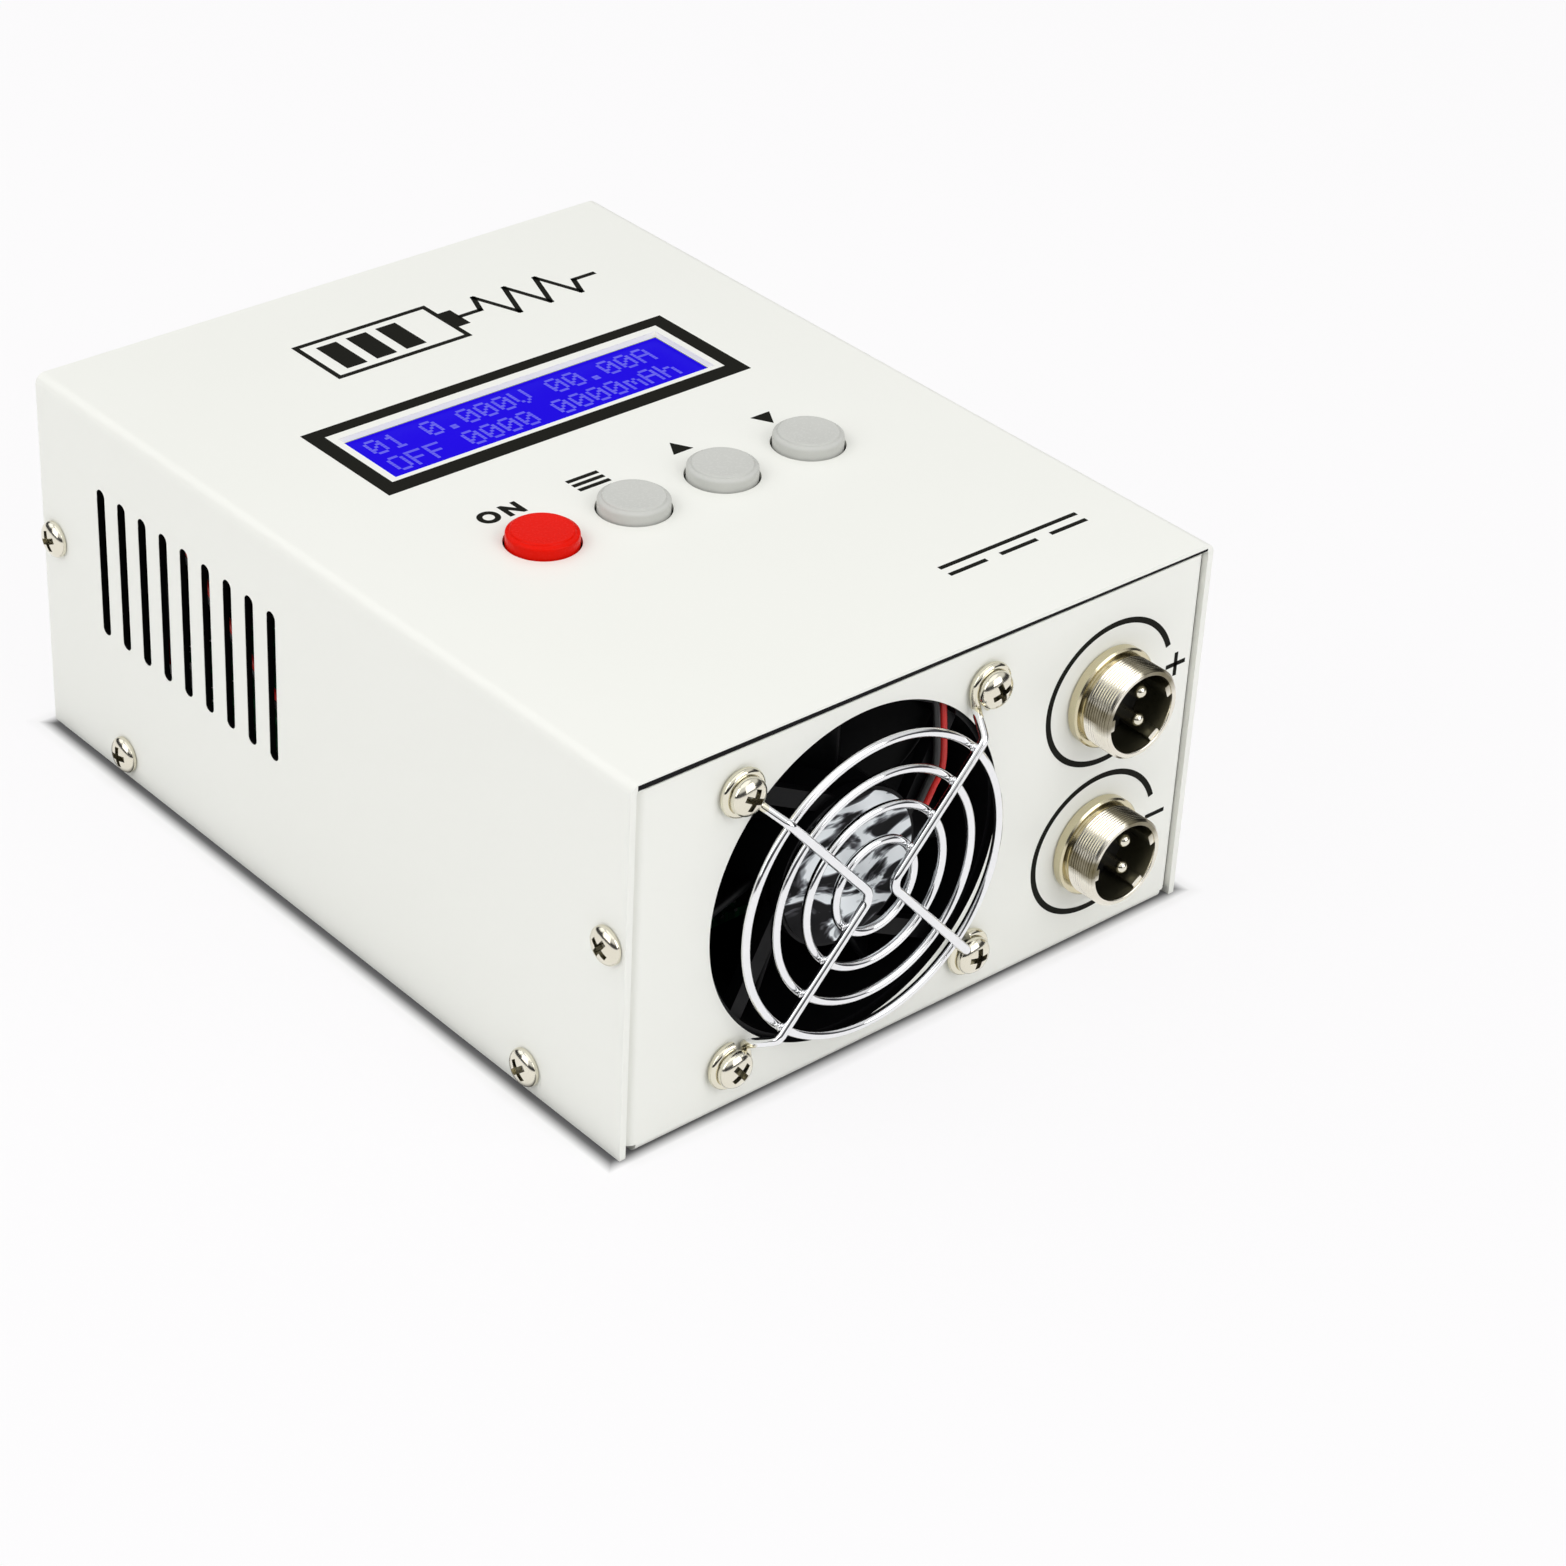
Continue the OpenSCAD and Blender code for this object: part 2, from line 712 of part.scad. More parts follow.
// A push-on cap: a hollow shell with a square socket in its middle boss
module cap(i) {
    high = cap_top_z - cap_base_z;
    cap_r = cap_d / 2;
    top_r = cap_top_d / 2;
    edge = cap_wall * 0.7;
    inner_h = high - cap_wall - edge / 2;
    boss_r = stem_w * 0.9;
    translate([button_xs[i], -button_y, cap_base_z])
    difference() {
        union() {
            rotate_extrude()
                difference() {
                    polygon([
                        [0, 0], [cap_r, 0], [cap_r, high - 2 * edge],
                        [top_r + edge / 3, high - edge / 2], [top_r, high], [0, high]
                    ]);
                    translate([0, -through]) square([cap_r - cap_wall, inner_h + through]);
                }
            translate([0, 0, cap_foot + snug]) cylinder(r = boss_r, h = inner_h - cap_foot + snug);
        }
        translate([-stem_w / 2 - snug, -stem_w / 2 - snug, -through])
            cube([stem_w + 2 * snug, stem_w + 2 * snug, through + cap_foot + cap_grip + snug]);
    }
}

module cap_on() { color("red") cap(0); }
module cap_set() { color("lightgray") cap(1); }
module cap_inc() { color("lightgray") cap(2); }
module cap_dec() { color("lightgray") cap(3); }

// Puts a child in the fan's own frame: +Z towards the rear from the fan's front face
module in_fan() {
    translate([fan_x, fan_front, fan_z]) rotate([-90, 0, 0]) mirror([0, 1, 0]) children();
}

module rounded_square(w, r) {
    square([w, w - 2 * r], center = true);
    square([w - 2 * r, w], center = true);
    for (sx = [-1, 1])
        for (sy = [-1, 1])
            translate([sx * (w / 2 - r), sy * (w / 2 - r)]) circle(r = r);
}

// A strut that leaves the motor base and leans to the duct
module strut() {
    start = [cos(strut_angle), sin(strut_angle)] * (fan_hub_r - root);
    end = [cos(outlet_angle), sin(outlet_angle)] * (duct_d / 2 + root);
    v = end - start;
    translate([start[0], start[1], strut_front])
        rotate([0, 0, atan2(v[1], v[0])])
            translate([0, -strut_w / 2, 0]) cube([norm(v), strut_w, motor_base_t]);
}

// Square housing with duct, struts, motor base and bearing tube
module fan_frame() {
    outlet_y = duct_d / 2 * sin(outlet_angle);
    color("black")
    in_fan() {
        difference() {
            union() {
                linear_extrude(fan_flange_t) rounded_square(fan_size, fan_corner_r);
                translate([0, 0, fan_t - fan_flange_t])
                    linear_extrude(fan_flange_t) rounded_square(fan_size, fan_corner_r);
                intersection() {
                    cylinder(r = duct_d / 2 + duct_wall, h = fan_t);
                    linear_extrude(fan_t) square(fan_size, center = true);
                }
            }
            translate([0, 0, -through]) cylinder(d = duct_d, h = fan_t + 2 * through);
            for (sx = [-1, 1])
                for (sy = [-1, 1])
                    translate([sx, sy, 0] * fan_screw_pitch / 2 - [0, 0, through])
                        cylinder(r = fan_hole_r, h = fan_t + 2 * through);
            translate([notch_x - wire_notch_w / 2, outlet_y - 1.5, -through])
                cube([wire_notch_w, fan_size, fan_flange_t + 2 * through]);
        }
        difference() {
            translate([0, 0, motor_base_gap]) {
                cylinder(r = fan_hub_r + 0.3, h = motor_base_t);
                cylinder(r = tube_r, h = tube_h);
            }
            translate([0, 0, motor_base_gap + motor_base_t])
                cylinder(r = bearing_r + snug, h = tube_h);
        }
        for (k = [0:3]) rotate([0, 0, 90 * k]) strut();
    }
}

module fan_label() {
    color("lightgray")
    in_fan() translate([0, 0, motor_base_gap - 0.2]) cylinder(r = fan_hub_r - 0.3, h = 0.2);
}

// Laminated core with four poles round the bearing tube
module fan_stator() {
    stator_len = 9;
    pole_w = 3;
    shoe_w = 10;
    color("peru")
    in_fan()
        translate([0, 0, rotor_front + 2])
            linear_extrude(stator_len)
                difference() {
                    union() {
                        circle(r = tube_r + pole_w / 2);
                        for (k = [0:3])
                            rotate(90 * k + 45) {
                                translate([0, -pole_w / 2]) square([stator_r - 1, pole_w]);
                                intersection() {
                                    difference() {
                                        circle(r = stator_r);
                                        circle(r = stator_r - pole_w / 2);
                                    }
                                    translate([0, -shoe_w / 2]) square([stator_r, shoe_w]);
                                }
                            }
                    }
                    circle(r = tube_r + snug);
                }
}

module fan_bearing() {
    color("goldenrod")
    in_fan()
        difference() {
            translate([0, 0, motor_base_gap + motor_base_t + snug])
                cylinder(r = bearing_r, h = bearing_len);
            cylinder(r = shaft_d / 2 + shaft_gap, h = fan_t);
        }
}

// One blade: a cambered plate that runs outwards, trimmed to a planform that widens to the tip
module blade() {
    tip = duct_d / 2 - tip_gap;
    camber_r = 34;
    slope = 42;
    mid = (rotor_front + rotor_back) / 2;
    deep = rotor_back - rotor_front - 1;
    wide = 19;
    root_w = 5;
    intersection() {
        translate([0, 0, mid])
            rotate([90, 0, 90])
                linear_extrude(tip)
                    intersection() {
                        translate([-camber_r * sin(slope), camber_r * cos(slope)])
                            difference() {
                                circle(r = camber_r + blade_t / 2);
                                circle(r = camber_r - blade_t / 2);
                            }
                        square([wide, deep], center = true);
                    }
        linear_extrude(fan_t)
            intersection() {
                circle(r = tip);
                translate([fan_hub_r - root, 0])
                    polygon([
                        [0, -root_w], [tip, -root_w - tip * 0.28],
                        [tip, root_w + tip * 0.36], [0, root_w]
                    ]);
            }
    }
}

// Hub cup with its blades
module fan_rotor() {
    cup_h = rotor_back - rotor_front;
    cup_t = 2;
    color([0.12, 0.12, 0.13])
    in_fan() {
        difference() {
            translate([0, 0, rotor_front]) cylinder(r = fan_hub_r, h = cup_h);
            translate([0, 0, rotor_front - through])
                cylinder(r = magnet_out_r + snug, h = cup_h - cup_t + through);
            translate([0, 0, rotor_front]) cylinder(r = shaft_d / 2 + snug / 2, h = cup_h - cup_t / 3);
        }
        for (k = [0:blade_count - 1]) rotate([0, 0, 360 * k / blade_count]) blade();
    }
}

// Magnet ring inside the hub cup
module fan_magnet() {
    magnet_len = 12;
    color("gray")
    in_fan()
        translate([0, 0, rotor_front + 1])
            difference() {
                cylinder(r = magnet_out_r, h = magnet_len);
                translate([0, 0, -through]) cylinder(r = magnet_in_r, h = magnet_len + 2 * through);
            }
}

module fan_shaft() {
    first = motor_base_gap + motor_base_t + 0.6;
    last = rotor_back - 0.75;
    color("silver")
    in_fan() translate([0, 0, first]) cylinder(d = shaft_d, h = last - first);
}

// Route of one bent arm of the guard with an eye at both ends, +Z pointing to the front
function guard_arm_route() =
    let (
        corner = fan_screw_pitch / 2,
        steps = 12,
        eye = [
            for (i = [0:steps])
                let (a = 262 + i * (282 / steps))
                [corner + eye_r * cos(a), corner + eye_r * sin(a), eye_out]
        ],
        inner = corner - eye_r * cos(45) - 0.4,
        risen = inner - arm_rise * 0.5,
        bend = 2.4,
        apex = [
            for (a = [50:-25:0])
                [apex_x + bend * (1 - cos(a)), bend * sin(a), arm_out]
        ],
        half = concat(eye, soften([
            eye[steps], [inner, inner, eye_out], [risen, risen, arm_out], apex[0]
        ], 0.9), apex),
        last = len(half) - 2
    )
    concat(half, [for (i = [last:-1:0]) [half[i][0], -half[i][1], half[i][2]]]);

// The inner points of a route with each corner cut to a short curve of reach d
function soften(p, d) = [
    for (i = [1:len(p) - 2])
        let (a = p[i] + d * unit(p[i - 1] - p[i]), b = p[i] + d * unit(p[i + 1] - p[i]))
        each [a, (a + b) / 4 + p[i] / 2, b]
];

// Two bent arms that cross in front of the rings, held by the fan screws
module guard_arms() {
    color("gainsboro")
    facing_front(fan_x, fan_z, -panel_out)
        for (turn = [0, 180])
            rotate([0, 0, turn]) wire_along(guard_arm_route(), arm_r, 10);
}

// Rings welded behind the arms
module guard_rings() {
    color("gainsboro")
    facing_front(fan_x, fan_z, -panel_out)
        for (i = [0:ring_count - 1])
            translate([0, 0, ring_out])
                rotate_extrude() translate([ring_r - i * ring_pitch, 0]) circle(r = ring_wire_r);
}

module fan_screws() {
    seat = eye_out + arm_r + weld_gap;
    long = seat + tray_t + fan_flange_t + nut_t + 0.5;
    color("silver")
    at_fan_screws(-panel_out - seat) pan_screw(screw_r - snug, head_d / 2, head_h + 0.2, long);
}

module fan_nuts() {
    color("silver")
    at_fan_screws(fan_front + fan_flange_t + nut_t) hex_nut(fan_nut_w, screw_r, nut_t - snug);
}

// The two fan wires run side by side along a strut, over the fan and back inside the left wall.
// Each row is a point of the route and the direction of the wires' left side there.
strut_side = [-sin(strut_angle + 50), 0, cos(strut_angle + 50)];
over_fan_z = fan_z + fan_size / 2 + 1;
behind_fan = fan_front + fan_t;
outlet_angle = strut_angle + strut_sweep;
notch_x = duct_d / 2 * cos(outlet_angle) - root - wire_notch_w / 2;
wire_depth = strut_front - fan_wire_d / 2 - 0.2;
wall_start = behind_fan + 14;
function along_wall(f, drop) =
    [wire_x, wall_start + f * (header_y - wall_start), over_fan_z - drop * fan_size];
fan_wire_rows = [
    [fan_point(fan_hub_r + 2.4, strut_angle + 4, wire_depth), strut_side],
    [fan_point(fan_hub_r + 5, strut_angle + 11, wire_depth), strut_side],
    [fan_point(duct_d * 0.38, strut_angle + 18, wire_depth), strut_side],
    [fan_point(duct_d * 0.47, outlet_angle + 5, wire_depth), strut_side],
    [[fan_x + notch_x, fan_front + 1.8, over_fan_z - 5], [-1, 0, 0]],
    [[fan_x + notch_x, fan_front + 2.8, over_fan_z - 0.6], [-1, 0, 0]],
    [[fan_x + notch_x, fan_front + fan_t / 2, over_fan_z], [-1, 0, 0]],
    [[fan_x + notch_x - 3, behind_fan - 1, over_fan_z], [-0.7, -0.7, 0]],
    [[fan_x + 2, behind_fan + 4, over_fan_z - 1.5], [0, -1, 0]],
    [[fan_x - fan_size * 0.37, behind_fan + 7, over_fan_z - fan_size * 0.15], [0, -1, 0]],
    [along_wall(0, 0.22) + [3, 0, 0], [-0.7, -0.7, 0]],
    [along_wall(0.144, 0.28) + [1, 0, 0], [-0.5, -0.5, -0.7]],
    [along_wall(0.32, 0.35), [0, 0, -1]],
    [along_wall(0.53, 0.55), [0, 0, -1]],
    [along_wall(0.71, 0.42), [0, 0, -1]],
    [along_wall(0.88, 0.23), [0, 0, -1]],
    [along_wall(0.95, 0.27) + [0.4, 0, 0], [0, -0.7, -0.7]],
    [[header_x - 1, header_y, board_top + fan_size * 0.45], [0, -1, 0]],
    [[header_x, header_y, board_top + header_h + snug], [0, -1, 0]]
];
function fan_wire_route(side) = [for (row = fan_wire_rows) row[0] + side * wire_gap / 2 * row[1]];

module fan_wire_red() {
    color("red") wire_along(smooth(fan_wire_route(-1), 2), fan_wire_d / 2);
}

module fan_wire_black() {
    color([0.1, 0.1, 0.1]) wire_along(smooth(fan_wire_route(1), 2), fan_wire_d / 2);
}

// White plug and header of the fan wires
module fan_header() {
    color("white")
    translate([header_x - 3, header_y - header_d / 2, board_top]) cube([6, header_d, header_h]);
}

// Metal shell of a socket: keyed bore, coupling thread, flange and stem
module socket_shell(z) {
    bore_r = socket_bore_d / 2;
    inner_stem_r = stem_d / 2 - stem_wall;
    root_r = thread_d / 2 - 0.7;
    flange_r = socket_flange_d / 2;
    edge = 0.3;
    key_w = 2.2;
    key_in = 1.1;
    color("silver")
    facing_front(socket_x, z, -panel_out) {
        rotate_extrude()
            polygon([
                [inner_stem_r, -socket_back], [stem_d / 2, -socket_back], [stem_d / 2, 0],
                [flange_r - edge, 0], [flange_r, edge],
                [flange_r, socket_flange_t - edge], [flange_r - edge, socket_flange_t],
                [root_r, socket_flange_t], [root_r, socket_flange_t + 2 * edge],
                [thread_d / 2, socket_flange_t + 3 * edge], [thread_d / 2, socket_out - edge],
                [thread_d / 2 - edge, socket_out], [bore_r, socket_out],
                [bore_r, 0], [inner_stem_r, 0]
            ]);
        intersection() {
            for (a = key_angles)
                rotate([0, 0, a])
                    translate([bore_r - key_in, -key_w / 2, socket_floor + snug])
                        cube([key_in + edge, key_w, socket_out - socket_floor - edge]);
            cylinder(r = bore_r + edge, h = socket_out);
        }
    }
}

// Insulating body that carries the contact pins
module socket_insulator(z) {
    color([0.08, 0.08, 0.08])
    facing_front(socket_x, z, -panel_out)
        difference() {
            union() {
                translate([0, 0, -socket_back - 1])
                    cylinder(r = stem_d / 2 - stem_wall - snug, h = socket_back + 1 + socket_floor);
                translate([0, 0, snug])
                    cylinder(r = socket_bore_d / 2 - snug, h = socket_floor - snug);
            }
            for (s = [-1, 1])
                translate([contact_x, s * contact_pitch / 2, -contact_back])
                    cylinder(r = contact_d / 2 + snug / 2, h = contact_back + socket_out);
        }
}

// Two round contacts with solder cups at the rear
module socket_contacts(z) {
    long = contact_back + socket_out - contact_recess;
    cup_r = contact_d / 2 - 0.45;
    cup_len = 2;
    color("silver")
    facing_front(socket_x, z, -panel_out)
        for (s = [-1, 1])
            translate([contact_x, s * contact_pitch / 2, -contact_back])
                difference() {
                    union() {
                        cylinder(d = contact_d, h = long - contact_d / 2);
                        translate([0, 0, long - contact_d / 2]) sphere(d = contact_d);
                    }
                    translate([0, 0, -through]) cylinder(r = cup_r, h = cup_len + through);
                }
}

module socket_nut(z) {
    color("silver")
    facing_front(socket_x, z, -panel_in + snug + nut_t)
        hex_nut(socket_nut_w, stem_d / 2 + snug, nut_t);
}

module socket_pos_shell() { socket_shell(socket_pos_z); }
module socket_pos_insulator() { socket_insulator(socket_pos_z); }
module socket_pos_contacts() { socket_contacts(socket_pos_z); }
module socket_pos_nut() { socket_nut(socket_pos_z); }
module socket_neg_shell() { socket_shell(socket_neg_z); }
module socket_neg_insulator() { socket_insulator(socket_neg_z); }
module socket_neg_contacts() { socket_contacts(socket_neg_z); }
module socket_neg_nut() { socket_nut(socket_neg_z); }

// A battery lead from a socket's contacts back and down to its post on the main board
function lead_route(z, post_x) = [
    [socket_x + contact_x, contact_back - panel_out + snug, z],
    [socket_x + contact_x, contact_back - panel_out + 1, z],
    [socket_x + contact_x, contact_back - panel_out + 6, z],
    [(socket_x + post_x) / 2, post_y - 5, (z + board_top + 22) / 2],
    [post_x, post_y, board_top + 2 * post_h],
    [post_x, post_y, board_top + post_h + 1],
    [post_x, post_y, board_top + post_h + snug]
];

module lead_positive() {
    color("red")
        wire_along(smooth(lead_route(socket_pos_z, post_xs[0]), 5), lead_d / 2);
}

module lead_negative() {
    color([0.1, 0.1, 0.1])
        wire_along(smooth(lead_route(socket_neg_z, post_xs[1]), 5), lead_d / 2);
}

// Brass posts that the battery leads are soldered into
module lead_posts() {
    color("goldenrod")
    for (x = post_xs)
        translate([x, post_y, board_top]) {
            cylinder(r = post_r, h = post_h - 2);
            cylinder(r = post_r - 0.8, h = post_h);
        }
}

// Places a child at each corner hole of the main board
module at_board_corners(z) {
    for (sx = [-1, 1])
        for (y = [board_front + board_hole_inset, board_rear - board_hole_inset])
            translate([sx * (board_half - board_hole_inset), y, z]) children();
}

module main_board() {
    color("darkgreen")
    difference() {
        translate([-board_half, board_front, board_z])
            cube([2 * board_half, board_rear - board_front, board_t]);
        at_board_corners(board_z - through) cylinder(r = screw_hole_r, h = board_t + 2 * through);
    }
}

// Pillars pressed into the base
module board_pillars() {
    color("silver")
    difference() {
        union() {
            at_board_corners(tray_t) cylinder(r = pillar_r, h = pillar_h);
            at_board_corners(snug) cylinder(r = screw_r - snug, h = tray_t);
        }
        at_board_corners(board_z - board_screw_len)
            cylinder(r = small_screw_r, h = board_screw_len + through);
    }
}

module board_screws() {
    color("silver")
        at_board_corners(board_top + snug)
            pan_screw(small_screw_r - snug, small_head_r, small_head_h, board_screw_len);
}

// Extruded heat sink: an upright base with level fins that the fan draws air along
module heat_sink() {
    first_z = board_top + 6;
    pitch = (sink_h - 8 - fin_t) / (fin_count - 1);
    color("silver")
    difference() {
        translate([0, sink_front, 0])
            rotate([90, 0, 0])
                mirror([0, 0, 1])
                    linear_extrude(sink_len) {
                        translate([sink_right - sink_base_t, board_top])
                            square([sink_base_t, sink_h]);
                        for (i = [0:fin_count - 1])
                            translate([sink_right - sink_w, first_z + i * pitch])
                                square([sink_w - through, fin_t]);
                    }
        at_transistors(sink_right - sink_bore_len) cylinder(r = screw_r, h = 2 * sink_bore_len);
    }
}

// Places a child at each transistor's screw, with +Z pointing away from the heat sink
module at_transistors(x) {
    for (i = [0:transistor_count - 1])
        translate([x, transistor_y0 + i * transistor_pitch, transistor_hole_z])
            rotate([0, 90, 0])
                children();
}

// Power transistors with three legs each, flat against the heat sink
module transistors() {
    leg_pitch = 5.4;
    leg_w = 1.2;
    color([0.15, 0.15, 0.15])
    for (i = [0:transistor_count - 1])
        translate([sink_right + snug, transistor_y0 + i * transistor_pitch, 0])
            difference() {
                union() {
                    translate([0, -transistor_w / 2, transistor_z])
                        cube([transistor_t, transistor_w, transistor_h]);
                    for (s = [-1:1])
                        translate([2, s * leg_pitch - leg_w / 2, board_top])
                            cube([leg_w / 2, leg_w, transistor_z - board_top + through]);
                }
                translate([-through, 0, transistor_hole_z])
                    rotate([0, 90, 0]) cylinder(r = screw_hole_r, h = transistor_t + 2 * through);
            }
}

module transistor_screws() {
    color("silver")
        at_transistors(sink_right + transistor_t + 2 * snug)
            pan_screw(screw_r - snug, head_d / 2 - 0.5, head_h, transistor_t + sink_bore_len - 0.5);
}

// Wound ring core lying on the main board
module inductor() {
    ring_w = coil_r * 0.59;
    ring_h = ring_w * 1.5;
    round_r = ring_w / 4;
    color("darkorange")
    translate([zone_x, coil_y, board_top + ring_h / 2])
        rotate_extrude()
            translate([coil_r - ring_w / 2, 0]) {
                square([ring_w - 2 * round_r, ring_h], center = true);
                square([ring_w, ring_h - 2 * round_r], center = true);
                for (sx = [-1, 1])
                    for (sy = [-1, 1])
                        translate([sx * (ring_w / 2 - round_r), sy * (ring_h / 2 - round_r)])
                            circle(r = round_r);
            }
}

// Round capacitors on the right of the main board
module capacitors() {
    big = [zone_x0 + big_can_r + 0.6, can_y, board_top];
    small = [zone_x0 + zone_w - small_can_r - 0.4, can_y - 2, board_top];
    color("darkslateblue")
    for (i = [0:1]) {
        translate(big + [0, i * (2 * big_can_r + 2), 0]) cylinder(r = big_can_r, h = 3 * big_can_r);
        translate(small + [0, i * (2 * small_can_r + 4), 0])
            cylinder(r = small_can_r, h = 3 * small_can_r);
    }
}

// Bent current-sensing strip
module shunt() {
    wide = zone_unit * 0.6;
    high = wide / 2;
    strip_t = 0.8;
    fold_r = wide * 0.22;
    color("chocolate")
    translate([zone_x, can_y + 3 * big_can_r + 6, board_top])
        rotate([90, 0, 0])
            linear_extrude(5, center = true)
                difference() {
                    arch_outline(wide, high, fold_r);
                    translate([0, -through])
                        arch_outline(wide - 2 * strip_t, high - strip_t + through, fold_r - strip_t);
                }
}

module chip(x, y, side) {
    translate([x - side / 2, y - side / 2, board_top]) cube([side, side, board_t]);
}

module board_chips() {
    color([0.12, 0.12, 0.12]) {
        chip(fan_x - chip_side, header_y - chip_side / 2, chip_side);
        chip(zone_x0 + zone_unit * 0.12, coil_y + coil_r + 3, zone_unit * 0.18);
    }
}

// Flat cable from the display board down to the main board, behind the heat sink
module ribbon_cable() {
    top = upper_board_z - board_t - ribbon_head_h;
    bottom = board_top + ribbon_head_h;
    y0 = ribbon_y;
    y1 = ribbon_y + ribbon_step;
    turn = ribbon_step / 2;
    mid = (top + bottom) / 2;
    color("gray")
    translate([ribbon_x - ribbon_w / 2, 0, 0])
        rotate([90, 0, 90])
            linear_extrude(ribbon_w) {
                translate([y0 - ribbon_t / 2, mid + turn]) square([ribbon_t, top - mid - turn - snug]);
                translate([y1 - ribbon_t / 2, bottom + snug])
                    square([ribbon_t, mid - turn - bottom - snug]);
                translate([y0 + turn, mid + turn]) quarter_ring(turn, 180);
                translate([y1 - turn, mid - turn]) quarter_ring(turn, 0);
            }
}

// A quarter of a ring of the ribbon's thickness, starting at an angle
module quarter_ring(r, a) {
    rotate(a)
        intersection() {
            difference() {
                circle(r = r + ribbon_t / 2);
                circle(r = r - ribbon_t / 2);
            }
            square(r + ribbon_t);
        }
}

// Plug bodies at both ends of the ribbon
module ribbon_headers() {
    size = [ribbon_w + 2, header_d, ribbon_head_h];
    low = [ribbon_x, ribbon_y + ribbon_step, board_top];
    high = [ribbon_x, ribbon_y, upper_board_z - board_t - ribbon_head_h];
    color([0.1, 0.1, 0.1])
    for (p = [low, high])
        translate(p - [size[0], size[1], 0] / 2) cube(size);
}

// Power inlet on the main board with its collar in the rear panel
module power_inlet() {
    color([0.1, 0.1, 0.1])
    difference() {
        union() {
            translate([inlet_x - inlet_w / 2, panel_in - inlet_len, board_top])
                cube([inlet_w, inlet_len - 0.5, inlet_w + 1]);
            facing_front(inlet_x, inlet_z, panel_out) cylinder(d = inlet_d, h = tray_t + 2);
        }
        facing_front(inlet_x, inlet_z, panel_out + through)
            cylinder(d = inlet_bore_d, h = inlet_bore_len + through);
    }
}

module inlet_contact() {
    color("silver")
    facing_front(inlet_x, inlet_z, panel_out - 1) cylinder(d = 2.1, h = inlet_bore_len - 1);
}

// Shrouded header of the data port, level with the rear panel
module data_port() {
    color("white")
    difference() {
        translate([port_x - port_w / 2, port_floor_y - port_back_t, board_top])
            cube([port_w, panel_out - 0.2 - port_floor_y + port_back_t, port_h]);
        translate([port_x - port_w / 2 + port_wall, port_floor_y, board_top + port_wall])
            cube([port_w - 2 * port_wall, 10, port_h - 2 * port_wall]);
    }
}

module data_port_pins() {
    pin_w = 0.64;
    pin_pitch = 2.5;
    color("gold")
    for (i = [0:3])
        translate([port_x + (i - 1.5) * pin_pitch, port_floor_y, board_top + port_h / 2])
            translate([-pin_w / 2, 0, -pin_w / 2]) cube([pin_w, 6.5, pin_w]);
}

tray();
top_cover();
case_screws();
lcd_bezel();
lcd_glass();
lcd_backlight();
lcd_board();
button_board();
board_spacers();
spacer_screws();
tact_housings();
plunger_on();
plunger_set();
plunger_inc();
plunger_dec();
cap_on();
cap_set();
cap_inc();
cap_dec();
fan_frame();
fan_label();
fan_stator();
fan_bearing();
fan_rotor();
fan_magnet();
fan_shaft();
guard_arms();
guard_rings();
fan_screws();
fan_nuts();
fan_wire_red();
fan_wire_black();
fan_header();
socket_pos_shell();
socket_pos_insulator();
socket_pos_contacts();
socket_pos_nut();
socket_neg_shell();
socket_neg_insulator();
socket_neg_contacts();
socket_neg_nut();
lead_positive();
lead_negative();
lead_posts();
main_board();
board_pillars();
board_screws();
heat_sink();
transistors();
transistor_screws();
inductor();
capacitors();
shunt();
board_chips();
ribbon_cable();
ribbon_headers();
power_inlet();
inlet_contact();
data_port();
data_port_pins();
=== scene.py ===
"""A battery capacity tester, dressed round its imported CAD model, in metres."""
import math

import bmesh
import bpy
from mathutils import Matrix, Vector


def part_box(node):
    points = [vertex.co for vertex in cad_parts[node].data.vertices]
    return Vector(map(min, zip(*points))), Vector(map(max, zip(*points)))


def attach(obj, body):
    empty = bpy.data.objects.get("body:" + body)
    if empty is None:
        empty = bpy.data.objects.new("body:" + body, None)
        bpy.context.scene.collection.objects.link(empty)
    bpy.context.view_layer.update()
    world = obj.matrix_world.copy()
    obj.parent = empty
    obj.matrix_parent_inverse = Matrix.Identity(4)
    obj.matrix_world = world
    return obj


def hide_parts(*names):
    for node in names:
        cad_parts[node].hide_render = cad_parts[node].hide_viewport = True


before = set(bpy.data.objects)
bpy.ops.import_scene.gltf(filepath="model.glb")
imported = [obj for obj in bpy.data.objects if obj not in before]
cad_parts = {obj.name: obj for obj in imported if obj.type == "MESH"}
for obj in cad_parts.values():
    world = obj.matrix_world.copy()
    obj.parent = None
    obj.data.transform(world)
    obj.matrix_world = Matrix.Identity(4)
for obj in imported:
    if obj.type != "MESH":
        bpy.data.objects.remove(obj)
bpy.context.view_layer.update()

# Camera
# It stands where the photograph was taken from, as a pinhole camera fitted to the case's corners,
# slots, screws, fan and display gives it.
STAND = (-0.371369, -0.450629, 0.383558)
RIGHT = Vector((0.755880, -0.653116, 0.045654))
UP = Vector((0.326476, 0.436452, 0.838405))
BACK = Vector((-0.567502, -0.618829, 0.543132))
bpy.ops.object.select_all(action="DESELECT")
bpy.ops.object.camera_add()
camera = bpy.context.active_object
camera.name = "photo_camera"
turn = Matrix((RIGHT, UP, BACK)).transposed().to_4x4()
camera.matrix_world = Matrix.Translation(STAND) @ turn
camera.data.sensor_width = 36
camera.data.lens = 93.04
camera.data.clip_start = 0.01
camera.data.clip_end = 20
bpy.context.scene.camera = camera
bpy.context.scene.view_settings.view_transform = "Standard"

